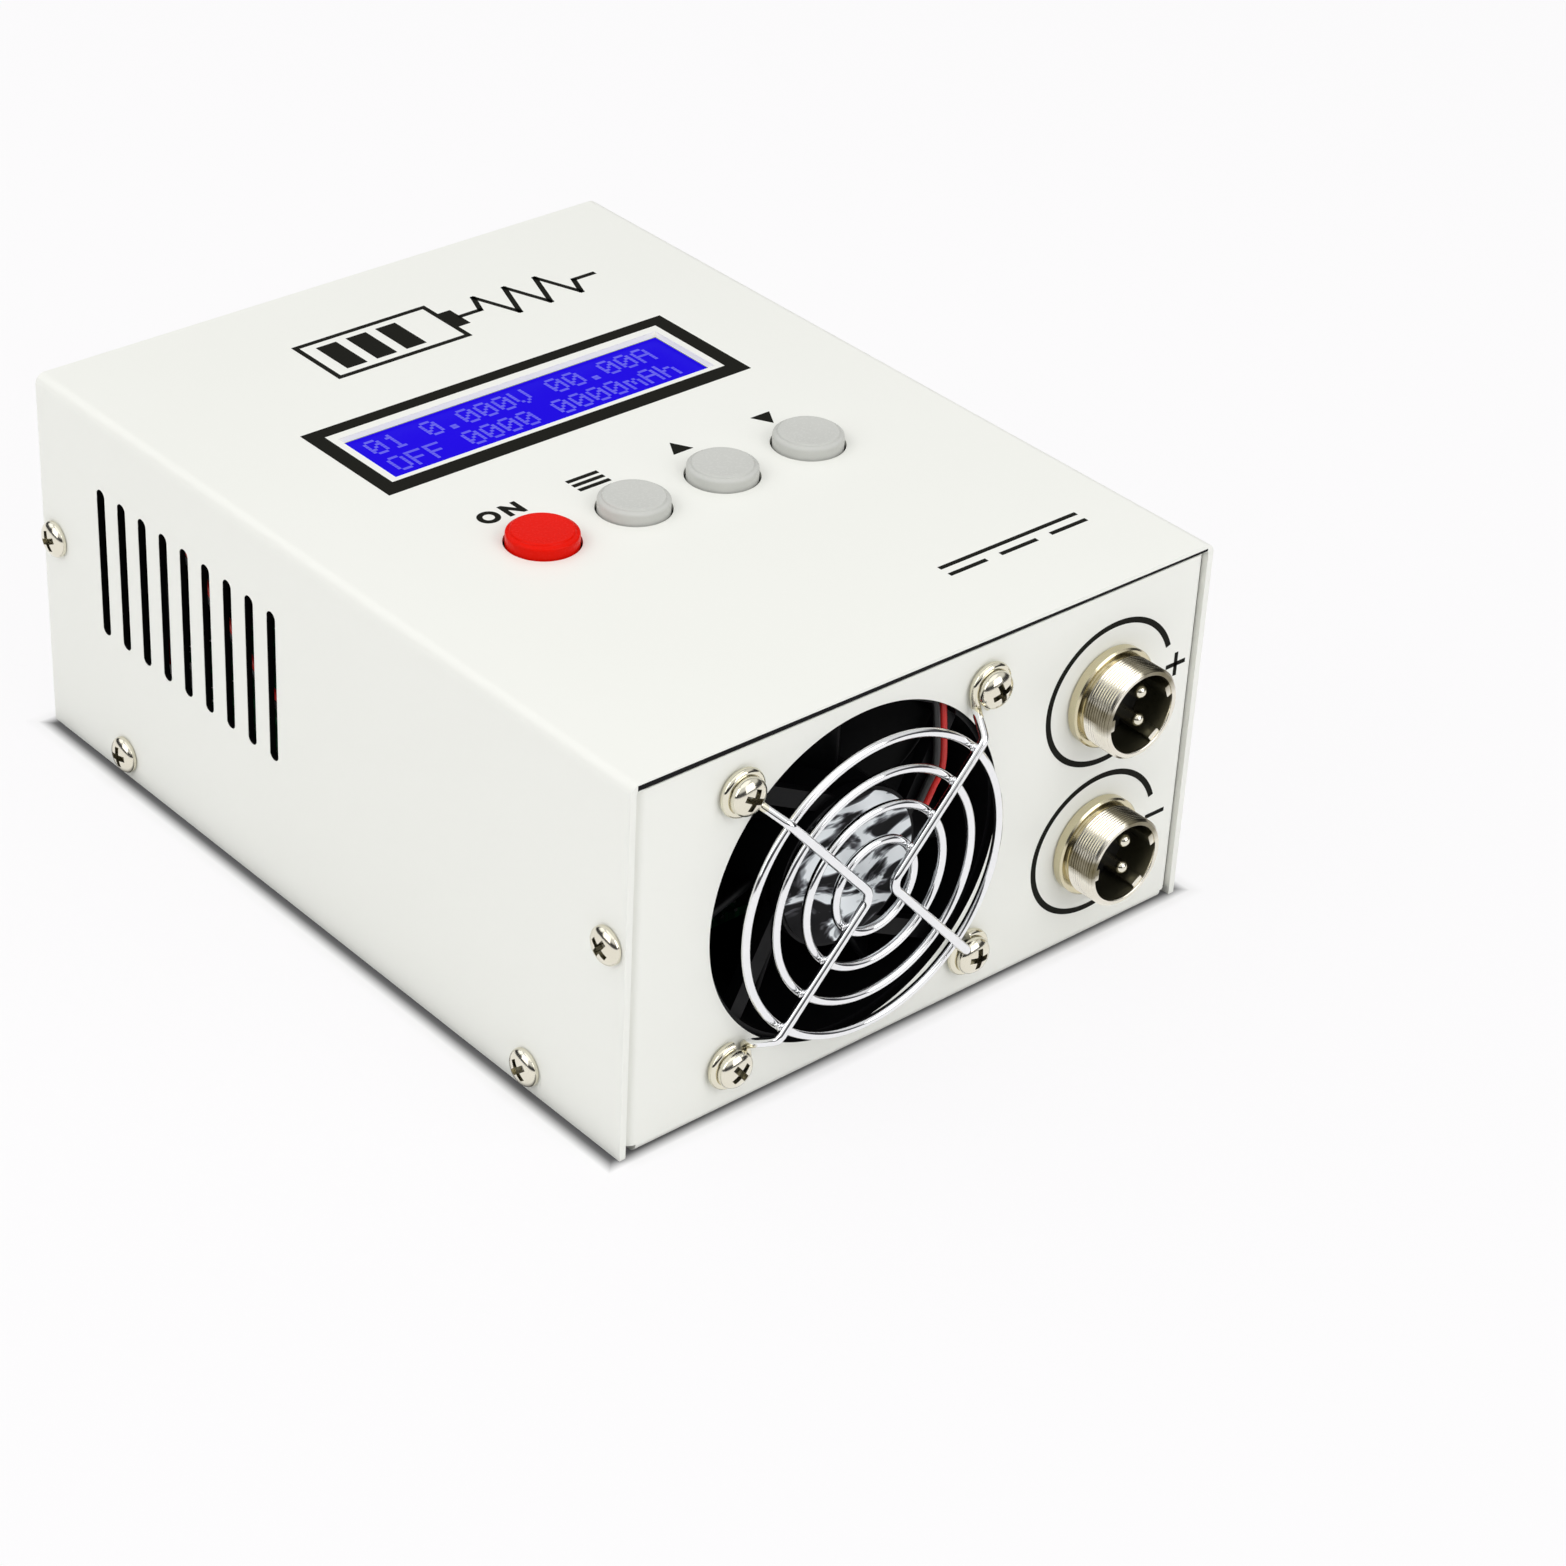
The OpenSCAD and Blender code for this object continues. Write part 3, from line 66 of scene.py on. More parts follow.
# Lamps
# Four wide soft boxes, as for a catalogue picture: one overhead, one for each side that is seen,
# and a weak one behind for the far edges.
AIM = Vector((0, 0, 0.03))
for name, place, size, watts in (
    ("overhead_box", (-0.15, -0.2, 1.3), 1.3, 3.0),
    ("left_box", (-1.2, 0.1, 0.75), 1.0, 5.7),
    ("front_box", (0.35, -1.25, 0.7), 1.0, 7.3),
    ("rear_box", (-0.7, 1.2, 1.0), 1.0, 2.0),
):
    bpy.ops.object.light_add(type="AREA", location=place)
    lamp = bpy.context.active_object
    lamp.name = name
    lamp.data.size = size
    lamp.data.energy = watts
    lamp.rotation_euler = (AIM - Vector(place)).to_track_quat("-Z", "Y").to_euler()


# Sky
# Grey below the horizon and pale above, with a dark strip between, which draws the dark edges on
# bright metal. The camera sees it nearly white.
class Shade:
    """A socket of a material, on which sums, products and comparisons add their nodes."""

    def __init__(self, tree, socket=None):
        self.tree = tree
        self.socket = socket

    def plug(self, made, sockets):
        """Links or sets inputs of a node."""
        for key, value in sockets.items():
            target = made.inputs[key]
            if isinstance(value, Shade):
                self.tree.links.new(value.socket, target)
            elif target.type == "RGBA" and len(value) == 3:
                target.default_value = (*value, 1)
            else:
                target.default_value = value

    def node(self, kind, settings=None, sockets=None, out=0):
        """Adds a node, and gives one of its outputs."""
        made = self.tree.nodes.new("ShaderNode" + kind)
        for key, value in (settings or {}).items():
            if key == "stops":
                stops = made.color_ramp.elements
                for i, (place, colour) in enumerate(value):
                    stop = stops[i] if i < len(stops) else stops.new(place)
                    stop.position = place
                    stop.color = (*colour, 1)
            else:
                setattr(made, key, value)
        self.plug(made, sockets or {})
        return Shade(self.tree, made.outputs[out])

    def math(self, operation, *values):
        return self.node("Math", {"operation": operation}, dict(enumerate(values)))

    def split(self):
        """The x, y and z of a vector."""
        parts = self.node("SeparateXYZ", sockets={0: self}).socket.node.outputs
        return [Shade(self.tree, part) for part in parts]

    def tint(self, low, high):
        """A colour between two others, with the value as its share of the second."""
        return self.node("MixRGB", sockets={"Fac": self, "Color1": low, "Color2": high})

    def held(self):
        """The value held between 0 and 1."""
        return self.node("Clamp", sockets={0: self})

    def wave(self):
        """The sine of the value, brought between 0 and 1."""
        return self.math("SINE", self) * 0.5 + 0.5

    def __abs__(self):
        return self.math("ABSOLUTE", self)

    def __add__(self, other):
        return self.math("ADD", self, other)

    def __sub__(self, other):
        return self.math("SUBTRACT", self, other)

    def __rsub__(self, other):
        return self.math("SUBTRACT", other, self)

    def __mul__(self, other):
        return self.math("MULTIPLY", self, other)

    def __truediv__(self, other):
        return self.math("DIVIDE", self, other)

    def __gt__(self, other):
        return self.math("GREATER_THAN", self, other)

    def __lt__(self, other):
        return self.math("LESS_THAN", self, other)

    def __or__(self, other):
        return self.math("MAXIMUM", self, other)

    __radd__ = __add__
    __rmul__ = __mul__


world = bpy.data.worlds.new("studio_sky")
bpy.context.scene.world = world
world.use_nodes = True
sky = Shade(world.node_tree)
height = sky.node("TexCoord", out="Generated").split()[2]
sky_grey = sky.node("ValToRGB", {"stops": [(0.0, (0.3, 0.3, 0.31)), (0.49, (0.3, 0.3, 0.31)),
                                           (0.51, (0.04, 0.04, 0.045)), (0.66, (0.06, 0.06, 0.065)),
                                           (0.74, (0.75, 0.75, 0.75))]}, {0: height * 0.5 + 0.5})
sky_colour = sky.node("LightPath", out="Is Camera Ray").tint(sky_grey, (0.975, 0.968, 0.975))
sky.plug(world.node_tree.nodes["Background"], {"Color": sky_colour})


# Floor
# A plain pale board under everything. It takes the object's soft shadow, and a painted contact
# shadow: a thin dark line painted into its colour round the case. A part of what the camera, gloss
# and glass see of it is its own white, less beside the case, where the shadow lies.
def start(name, add, **settings):
    """Deselects everything, adds a primitive and names it."""
    bpy.ops.object.select_all(action="DESELECT")
    add(**settings)
    piece = bpy.context.active_object
    piece.name = piece.data.name = name
    return piece


def new_finish(name):
    """A new material's root for nodes, with its Object coordinates."""
    made = bpy.data.materials.new(name)
    made.use_nodes = True
    root = Shade(made.node_tree)
    root.material = made
    root.place = root.node("TexCoord", out="Object")
    return root


def looks(root, sockets, bump=None):
    """Sets a material's principled shader. A bump is a height, its depth in metres and a strength."""
    root.plug(root.tree.nodes["Principled BSDF"], sockets)
    if bump:
        bumped = root.node("Bump", sockets=dict(zip(("Height", "Distance", "Strength"), bump)))
        root.plug(root.tree.nodes["Principled BSDF"], {"Normal": bumped})
    return root.material


FOOT_X, FOOT_Y, CONTACT_RATE, CLEAR_FROM, CLEAR_RATE = 0.0601, 0.0773, 350, 0.0008, 250
WHITE_SHARE, WHITE_GAIN = 0.05, 0.85
floor = start("floor", bpy.ops.mesh.primitive_plane_add, size=12, location=(0, 0, 0))
ground = new_finish("pale_floor")
across, ahead, _ = ground.place.split()
beside = (abs(across) - FOOT_X) | (abs(ahead) - FOOT_Y)
# Painted contact shadow: the board's colour darkens to near black within a few millimetres of the case.
painted_contact = (beside * CONTACT_RATE).held()
clear = ((beside - CLEAR_FROM) * CLEAR_RATE).held()
painted_contact_shadow = (painted_contact * painted_contact).tint((0.075, 0.075, 0.078), (0.9, 0.9, 0.9))
looks(ground, {"Base Color": painted_contact_shadow, "Roughness": 0.9, "Specular IOR Level": 0.1})
by_camera, by_gloss, by_glass = (ground.node("LightPath", out=f"Is {kind} Ray")
                                 for kind in ("Camera", "Glossy", "Transmission"))
seen = by_camera | by_gloss | by_glass
nodes = ground.tree.nodes
mixed = ground.node("MixShader", sockets={
    0: seen * (clear * WHITE_GAIN + WHITE_SHARE),
    1: Shade(ground.tree, nodes["Principled BSDF"].outputs[0]),
    2: ground.node("Emission", sockets={"Color": (0.98, 0.972, 0.98), "Strength": 1.0})})
ground.plug(nodes["Material Output"], {"Surface": mixed})
floor.data.materials.append(ground.material)


# Powder coat
# Ivory powder, baked on the outside of the sheet steel: satin, with a faint orange peel. Inside,
# and on the edges of the slots, the fan's opening and the end panels, painted shade colours the
# steel nearly black. The walls of the display's window get a faint painted glow, as painted light.
def speckle(root, scale, detail=2.0, stretch=(1, 1, 1)):
    """Noise from 0 to 1 over a piece, its grain in parts per metre."""
    place = root.node("Mapping", sockets={"Vector": root.place, "Scale": stretch})
    return root.node("TexNoise", sockets={"Vector": place, "Scale": scale, "Detail": detail})


IN_X, IN_Y, IN_FLOOR, IN_TOP = 0.0589, 0.0777, 0.0011, 0.06695
SLOT_SKIN, SLOTS_FROM, SLOTS_TO, SLOTS_END = 0.05992, 0.02, 0.06, 0.07
SEAM_X, SEAM_FROM, SEAM_TO, SEAM_TILT, SEAM_Y = 0.0586, 0.0668, 0.0675, 0.004, 0.0788
GLOW_X, GLOW_TO, GLOW_FRONT, GLOW_BACK = 0.036, 0.0679, 0.01, 0.033
FAN_X, FAN_Z, OPENING_R = -0.014, 0.0343, 0.02954
coat = new_finish("ivory_powder_coat")
peel, cloud = speckle(coat, 900, 3), speckle(coat, 14)
across, ahead, above = coat.place.split()
rearward = ahead > GLOW_FRONT
from_fan, over_fan = across - FAN_X, above - FAN_Z
opening = (1 - rearward) * (from_fan * from_fan + over_fan * over_fan < OPENING_R ** 2)
aside, ahead = abs(across), abs(ahead)
inside = (aside < IN_X) * (ahead < IN_Y) * (above > IN_FLOOR) * (above < IN_TOP)
slot_edge = (aside < SLOT_SKIN) * (above > SLOTS_FROM) * (above < SLOTS_TO) * (ahead < SLOTS_END)
seam_shade = (aside < SEAM_X) * (above > SEAM_FROM) * (above + across * SEAM_TILT < SEAM_TO)
# Painted shade: inside the case and on these cut edges and seams the coat is a near-black mirror.
painted_shade = inside | slot_edge | opening | (seam_shade * (ahead > SEAM_Y))
# Painted light: the walls of the display's window glow faintly, in a pale yellowish white.
window = rearward * (aside < GLOW_X) * (above > SEAM_FROM) * (above < GLOW_TO) * (ahead < GLOW_BACK)
ivory = cloud.tint((0.845, 0.85, 0.80), (0.87, 0.874, 0.828))
ivory_paint = looks(
    coat,
    {"Base Color": painted_shade.tint(ivory, (0.012, 0.012, 0.013)),
     "Roughness": 0.36 + peel * 0.14 + painted_shade * 0.15, "Metallic": painted_shade,
     "Emission Color": window.tint((0.0, 0.0, 0.0), (0.28, 0.28, 0.08)),
     "Emission Strength": 1.0},
    (peel, 0.00004, 0.35),
)


# Cover
# One sheet of 1.2 mm steel, bent down on both sides over a small radius, with the slots, the
# display window and the button holes punched before bending.
def pick(piece, test, kind="FACE"):
    """In edit mode, selects the faces or edges whose middle and normal pass a test."""
    bpy.ops.mesh.select_all(action="DESELECT")
    bpy.ops.mesh.select_mode(type=kind)
    form = bmesh.from_edit_mesh(piece.data)
    for part in form.faces if kind == "FACE" else form.edges:
        if kind == "FACE":
            middle, normal = part.calc_center_median(), part.normal
        else:
            middle = (part.verts[0].co + part.verts[1].co) / 2
            normal = (part.verts[1].co - part.verts[0].co).normalized()
        part.select_set(bool(test(middle, normal)))
    bmesh.update_edit_mesh(piece.data)


def activate(*pieces):
    """Selects these pieces alone, with the first one active."""
    bpy.ops.object.select_all(action="DESELECT")
    for piece in pieces:
        piece.select_set(True)
    bpy.context.view_layer.objects.active = pieces[0]


def modify(piece, kind, **settings):
    """Adds a modifier to a piece and applies it."""
    activate(piece)
    modifier = piece.modifiers.new(kind.lower(), kind)
    for key, value in settings.items():
        setattr(modifier, key, value)
    bpy.ops.object.modifier_apply(modifier=modifier.name)


def ease(piece, width, angle, segments=2):
    """Rounds off the edges that turn by more than an angle in degrees."""
    modify(piece, "BEVEL", width=width, segments=segments, limit_method="ANGLE",
           angle_limit=math.radians(angle))


def cut(piece, tool):
    """Cuts a tool's form out of a piece, and removes the tool."""
    modify(piece, "BOOLEAN", object=tool, operation="DIFFERENCE", solver="EXACT")
    bpy.data.objects.remove(tool)


def join(name, pieces):
    """Makes one object of several."""
    activate(*pieces)
    bpy.ops.object.join()
    pieces[0].name = pieces[0].data.name = name
    return pieces[0]


def settle(piece):
    """Puts a piece's place, turn and scale into its mesh."""
    activate(piece)
    bpy.ops.object.transform_apply(location=True, rotation=True, scale=True)
    return piece


def block(name, size, place, turn=0.0):
    """A block with its middle at a place, turned about +Z."""
    return settle(start(name, bpy.ops.mesh.primitive_cube_add, size=1, scale=size, location=place,
                        rotation=(0, 0, turn)))


def finish(piece, material, body="case", stands_for=None, smooth=35):
    """Gives a finished piece its material and its body, and hides the CAD node that it stands for."""
    settle(piece)
    piece.data.materials.clear()
    piece.data.materials.append(material)
    bpy.ops.object.shade_smooth_by_angle(angle=math.radians(smooth))
    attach(piece, body)
    if stands_for:
        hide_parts(stands_for)


def coat_node(node, material):
    """Gives a CAD node that stays its finish."""
    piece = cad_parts[node]
    piece.data.materials.clear()
    piece.data.materials.append(material)


CASE_W, CASE_D, CASE_H, SHEET, LIFT, BEND_R = 0.120, 0.158, 0.068, 0.0012, 0.0002, 0.0018
cover = block("cover_sheet", (CASE_W, CASE_D, CASE_H - LIFT), (0, 0, (CASE_H + LIFT) / 2))
bpy.ops.object.mode_set(mode="EDIT")
pick(cover, lambda middle, normal: normal.z < -0.5 or abs(normal.y) > 0.5)
bpy.ops.mesh.delete(type="FACE")
pick(cover, lambda middle, run: abs(run.y) > 0.9 and middle.z > CASE_H / 2, "EDGE")
bpy.ops.mesh.bevel(offset=BEND_R, segments=6)
bpy.ops.object.mode_set(mode="OBJECT")
modify(cover, "SOLIDIFY", thickness=SHEET, offset=-1)

WINDOW_X, WINDOW_Y, WINDOW_W, WINDOW_D = 0.001, 0.0229, 0.067, 0.0158
CAP_XS, CAP_Y, CAP_HOLE_R = [0.0014 + (i - 1.5) * 0.0185 for i in range(4)], -0.0155, 0.00635
SLOT_W, SLOT_LEN, SLOT_Z, SLOT_STEP, LAST_SLOT_Y = 0.0024, 0.028, 0.0403, 0.00615, 0.0603
PUNCH, SCREW_HOLE_R = 0.006, 0.0017
punches = [block("window_punch", (WINDOW_W, WINDOW_D, PUNCH), (WINDOW_X, WINDOW_Y, CASE_H))]
for x in CAP_XS:
    punches.append(start("cap_punch", bpy.ops.mesh.primitive_cylinder_add, vertices=64,
                         radius=CAP_HOLE_R, depth=PUNCH, location=(x, CAP_Y, CASE_H)))
THROUGH = {"depth": CASE_W + 0.01, "rotation": (0, math.pi / 2, 0)}
for i in range(9):
    slot_punch = settle(start("slot_punch", bpy.ops.mesh.primitive_cylinder_add, vertices=24,
                              radius=SLOT_W / 2, location=(0, LAST_SLOT_Y - i * SLOT_STEP, SLOT_Z),
                              **THROUGH))
    for point in slot_punch.data.vertices:
        point.co.z += math.copysign((SLOT_LEN - SLOT_W) / 2, point.co.z - SLOT_Z + 1e-9)
    punches.append(slot_punch)
SIDE_SCREWS = [(end * y, z) for end in (-1, 1) for y, z in ((0.075, 0.0384), (0.056, 0.0046))]
for y, z in SIDE_SCREWS:
    punches.append(start("screw_punch", bpy.ops.mesh.primitive_cylinder_add, vertices=32,
                         radius=SCREW_HOLE_R, location=(0, y, z), **THROUGH))
cut(cover, join("cover_punch", punches))
ease(cover, 0.00018, 50)
finish(cover, ivory_paint, stands_for="top_cover")
modify(cover, "WEIGHTED_NORMAL", keep_sharp=True)


# Base and end panels
# A second sheet makes the base with both end panels bent up, the front one punched for the fan and
# the sockets. It is the CAD node with its loose triangles merged, its hard edges rounded off and
# the panels' sides moved out to the cover.
def placed(name, data):
    """A new object for some data, selected and active."""
    piece = bpy.data.objects.new(name, data)
    bpy.context.scene.collection.objects.link(piece)
    activate(piece)
    return piece


MERGE, PANEL_SIDE, SIDE_STEP = 0.000002, 0.0582, 0.0002
base = placed("tray_finished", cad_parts["tray"].data.copy())
bpy.ops.object.mode_set(mode="EDIT")
bpy.ops.mesh.select_all(action="SELECT")
bpy.ops.mesh.remove_doubles(threshold=MERGE)
bpy.ops.mesh.dissolve_limited(angle_limit=math.radians(1))
bpy.ops.object.mode_set(mode="OBJECT")
ease(base, 0.00015, 40)
bpy.ops.object.mode_set(mode="EDIT")
for side in (-1, 1):
    pick(base, lambda middle, normal: normal.x * side > 0.5 and middle.x * side > PANEL_SIDE)
    bpy.ops.transform.translate(value=(side * SIDE_STEP, 0, 0))
bpy.ops.object.mode_set(mode="OBJECT")
finish(base, ivory_paint, stands_for="tray")
modify(base, "WEIGHTED_NORMAL", keep_sharp=True)


# Printing
# Black screen-printed ink, a few hundredths of a millimetre thick on the powder coat: a frame
# round the display, a sign at each button, and plain symbols of a battery and its load.
def grained(name, grain, low, high, rough, bump, specular=0.5):
    """Ink or plastic, with one noise in its tone, its roughness and its bump."""
    root = new_finish(name)
    noise = speckle(root, *grain)
    return looks(root, {"Base Color": noise.tint(low, high), "Roughness": rough[0] + noise * rough[1],
                        "Specular IOR Level": specular}, (noise, *bump))


def close_up():
    """In edit mode, merges doubled points, turns the faces outward and goes back to object mode."""
    bpy.ops.mesh.select_all(action="SELECT")
    bpy.ops.mesh.remove_doubles(threshold=MERGE)
    bpy.ops.mesh.normals_make_consistent(inside=False)
    bpy.ops.object.mode_set(mode="OBJECT")


black_ink = grained("black_ink", (2500,), (0.009, 0.009, 0.007), (0.016, 0.016, 0.013), (0.6, 0.15),
                    (0.00001, 0.3), 0.04)
INK = 0.00003
INK_Z = CASE_H + INK / 2


def printed_bar(x, y, w, d, turn=0.0):
    """A printed bar on the cover."""
    return block("bar", (w, d, INK), (x, y, INK_Z), turn)


FRAME_W, FRAME_D, FRAME_SIDE, FRAME_FRONT, FRAME_BACK = 0.076, 0.0246, 0.00305, 0.0033, 0.0026
side_d = FRAME_D - FRAME_FRONT - FRAME_BACK
side_y = WINDOW_Y + (FRAME_FRONT - FRAME_BACK) / 2
bars = [printed_bar(WINDOW_X, WINDOW_Y - (FRAME_D - FRAME_FRONT) / 2, FRAME_W, FRAME_FRONT),
        printed_bar(WINDOW_X, WINDOW_Y + (FRAME_D - FRAME_BACK) / 2, FRAME_W, FRAME_BACK)]
bars += [printed_bar(WINDOW_X + side * (FRAME_W - FRAME_SIDE) / 2, side_y, FRAME_SIDE, side_d)
         for side in (-1, 1)]
finish(join("display_frame", bars), black_ink)

on_sign = start("sign_on", bpy.ops.object.text_add, location=(CAP_XS[0] - 0.0041, -0.0060, CASE_H))
on_sign.data.body = "ON"
on_sign.data.size = 0.0047
on_sign.data.space_character = 1.4
on_sign.data.offset = 0.00026
bpy.ops.object.convert(target="MESH")
modify(on_sign, "SOLIDIFY", thickness=INK, offset=1)
finish(on_sign, black_ink)

ARROW_R, ARROW_Y, LINE_X, LINE_Y, LINE_STEP = 0.0024, -0.0044, -0.0004, -0.0027, 0.0016
signs = []
for x, spin in ((CAP_XS[2], 0), (CAP_XS[3], math.pi)):
    signs.append(settle(start("arrow", bpy.ops.mesh.primitive_cylinder_add, vertices=3, depth=INK,
                              radius=ARROW_R, location=(x, ARROW_Y, INK_Z), rotation=(0, 0, spin))))
signs += [printed_bar(CAP_XS[1] + LINE_X, LINE_Y - LINE_STEP * i, 0.0064, 0.0009) for i in range(3)]
finish(join("button_signs", signs), black_ink)

SIGN_Y, LINE, BATTERY_X, BATTERY_W, BATTERY_D = 0.055, 0.0010, -0.006, 0.028, 0.014
battery = start("outline", bpy.ops.mesh.primitive_plane_add, size=1, location=(BATTERY_X, SIGN_Y, CASE_H))
battery.scale = (BATTERY_W, BATTERY_D, 1)
settle(battery)
bpy.ops.object.mode_set(mode="EDIT")
bpy.ops.mesh.select_all(action="SELECT")
bpy.ops.mesh.inset(thickness=LINE)
bpy.ops.mesh.delete(type="FACE")
bpy.ops.mesh.select_all(action="SELECT")
bpy.ops.mesh.extrude_region_move(TRANSFORM_OT_translate={"value": (0, 0, INK)})
close_up()
title = [battery, printed_bar(0.0093, SIGN_Y, 0.0026, 0.006)]
title += [printed_bar(-0.0145 + 0.0062 * i, SIGN_Y, 0.0042, 0.0092) for i in range(3)]
zigzag = [(0.0106, SIGN_Y), (0.0150, SIGN_Y)]
zigzag += [(0.0168 + 0.0034 * i, SIGN_Y + (-0.0045 if i % 2 else 0.0045)) for i in range(6)]
zigzag += [(0.0356, SIGN_Y), (0.0400, SIGN_Y)]
for (x0, y0), (x1, y1) in zip(zigzag, zigzag[1:]):
    title.append(printed_bar((x0 + x1) / 2, (y0 + y1) / 2, math.hypot(x1 - x0, y1 - y0) + LINE * 0.8,
                             LINE, math.atan2(y1 - y0, x1 - x0)))
finish(join("battery_and_load_signs", title), black_ink)

supply = [printed_bar(0.0335, -0.0590, 0.030, 0.0009)]
supply += [printed_bar(0.0225 + 0.011 * i, -0.0614, 0.008, 0.0009) for i in range(3)]
finish(join("direct_current_sign", supply), black_ink)

PANEL_Y, SOCKET_X, SOCKET_ZS = -0.0788, 0.0385, (0.0474, 0.019)


def face_front(piece, x, z, y=PANEL_Y):
    """Turns a piece made along +Z to point out of the front panel, with its origin at a place."""
    piece.rotation_euler = (math.pi / 2, 0, 0)
    piece.location = (x, y, z)
    return settle(piece)


ARC_R, ARC_LINE, ARC_FROM, ARC_SWEEP, ARC_STRETCH = 0.0124, 0.001, 19, -263, (1.09, 1.02, 1)
SIGN_LEN, SIGN_LINE = 0.0044, 0.0008
rings = []
for x, z in ((SOCKET_X + 0.0006, SOCKET_ZS[0]), (SOCKET_X + 0.0004, SOCKET_ZS[1] - 0.0002)):
    ring = block("arc", (ARC_LINE, 0.0002, INK), (ARC_R, 0, INK / 2))
    bpy.ops.object.mode_set(mode="EDIT")
    pick(ring, lambda middle, normal: normal.y > 0.5)
    bpy.ops.mesh.spin(steps=90, angle=math.radians(ARC_SWEEP), center=(0, 0, 0), axis=(0, 0, 1))
    close_up()
    ring.rotation_euler = (0, 0, math.radians(ARC_FROM))
    settle(ring)
    ring.scale = ARC_STRETCH
    settle(ring)
    rings.append(face_front(ring, x, z))
for x, z, spins in ((0.0541, 0.0473, (0, math.pi / 2)), (0.0531, 0.0188, (0,))):
    for spin in spins:
        rings.append(face_front(block("polarity", (SIGN_LEN, SIGN_LINE, INK), (0, 0, INK / 2), spin), x, z))
finish(join("polarity_signs", rings), black_ink)


# Display
# A two-line character module: a lit blue glass behind the window, with rows of five by seven
# dots in pale blue, in a thin black steel bezel on a green board.
def lit(name, scale, base, low, high):
    """A surface that shines by itself and takes hardly any other light."""
    root = new_finish(name)
    return looks(root, {"Base Color": base, "Roughness": 0.3, "Specular IOR Level": 0.02,
                        "Emission Color": speckle(root, scale, 1).tint(low, high),
                        "Emission Strength": 1.0})


coat_node("lcd_glass", lit("lit_display_glass", 35, (0.002, 0.0, 0.02), (0.006, 0.0, 0.68),
                           (0.014, 0.0, 0.82)))
pale_dots = lit("display_dots", 300, (0.02, 0.02, 0.06), (0.09, 0.08, 0.72), (0.15, 0.14, 0.80))

DOT_ROWS = {
    "0": "01110 10001 10011 10101 11001 10001 01110", "1": "00100 01100 00100 00100 00100 00100 01110",
    ".": "00000 00000 00000 00000 00000 01100 01100", "V": "10001 10001 10001 10001 10001 01010 00100",
    "A": "01110 10001 10001 11111 10001 10001 10001", "O": "01110 10001 10001 10001 10001 10001 01110",
    "F": "11111 10000 10000 11110 10000 10000 10000", "m": "00000 00000 11010 10101 10101 10001 10001",
    "h": "10000 10000 10110 11001 10001 10001 10001",
}
DOT, CELL_W, CELL_H, FIRST_X, FIRST_Y = 0.00060, 0.00375, 0.0066, -0.0289, 0.0291
STEP_X, STEP_Y, DOT_T, DOT_Z = DOT * 1.04, DOT * 1.17, 0.00002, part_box("lcd_glass")[1].z + 0.00003
lit_dots = [(FIRST_X + column * CELL_W + i * STEP_X, FIRST_Y - row * CELL_H - j * STEP_Y, DOT_Z)
            for row, text in enumerate(("01 0.000V 00.00A", "OFF 0000 0000mAh"))
            for column, letter in enumerate(text)
            for j, line in enumerate(DOT_ROWS.get(letter, "").split())
            for i, on in enumerate(line) if on == "1"]
readout = settle(start("display_readout", bpy.ops.mesh.primitive_plane_add, size=DOT,
                       location=lit_dots[0]))
bpy.ops.object.mode_set(mode="EDIT")
for place in lit_dots[1:]:
    bpy.ops.mesh.primitive_plane_add(size=DOT, location=place)
bpy.ops.object.mode_set(mode="OBJECT")
modify(readout, "SOLIDIFY", thickness=DOT_T, offset=1)
finish(readout, pale_dots)

bezel = new_finish("black_bezel_steel")
brush = speckle(bezel, 700, 2, (1, 12, 1))
coat_node("lcd_bezel", looks(bezel, {"Base Color": (0.02, 0.02, 0.02), "Metallic": 0.3,
                                     "Roughness": 0.35 + brush * 0.15}, (brush, 0.00002, 0.3)))
white_plastic = grained("white_nylon", (120,), (0.72, 0.72, 0.67), (0.8, 0.8, 0.76), (0.4, 0.1),
                        (0.00003, 0.3))
coat_node("lcd_backlight", white_plastic)


# Circuit boards
# Glass-fibre boards under green solder mask, with copper tracks showing as paler lines and tinned
# pads as bright spots.
mask = new_finish("green_solder_mask")
spots = mask.node("TexVoronoi", {"feature": "F1"}, {"Vector": mask.place, "Scale": 420.0}, "Distance")
tracks = mask.node("TexWave", {"wave_type": "BANDS", "bands_direction": "X"},
                   {"Vector": mask.place, "Scale": 90.0, "Distortion": 9.0, "Detail": 1.0})
copper_lines, pads = tracks > 0.72, spots < 0.18
board_green = copper_lines.tint((0.008, 0.075, 0.03), (0.015, 0.15, 0.06))
green_board = looks(mask, {"Base Color": pads.tint(board_green, (0.6, 0.6, 0.58)),
                           "Metallic": pads * 0.8, "Roughness": 0.42 - pads * 0.1},
                    (copper_lines, 0.00003, 0.4))
for node in ("lcd_board", "button_board", "main_board"):
    coat_node(node, green_board)


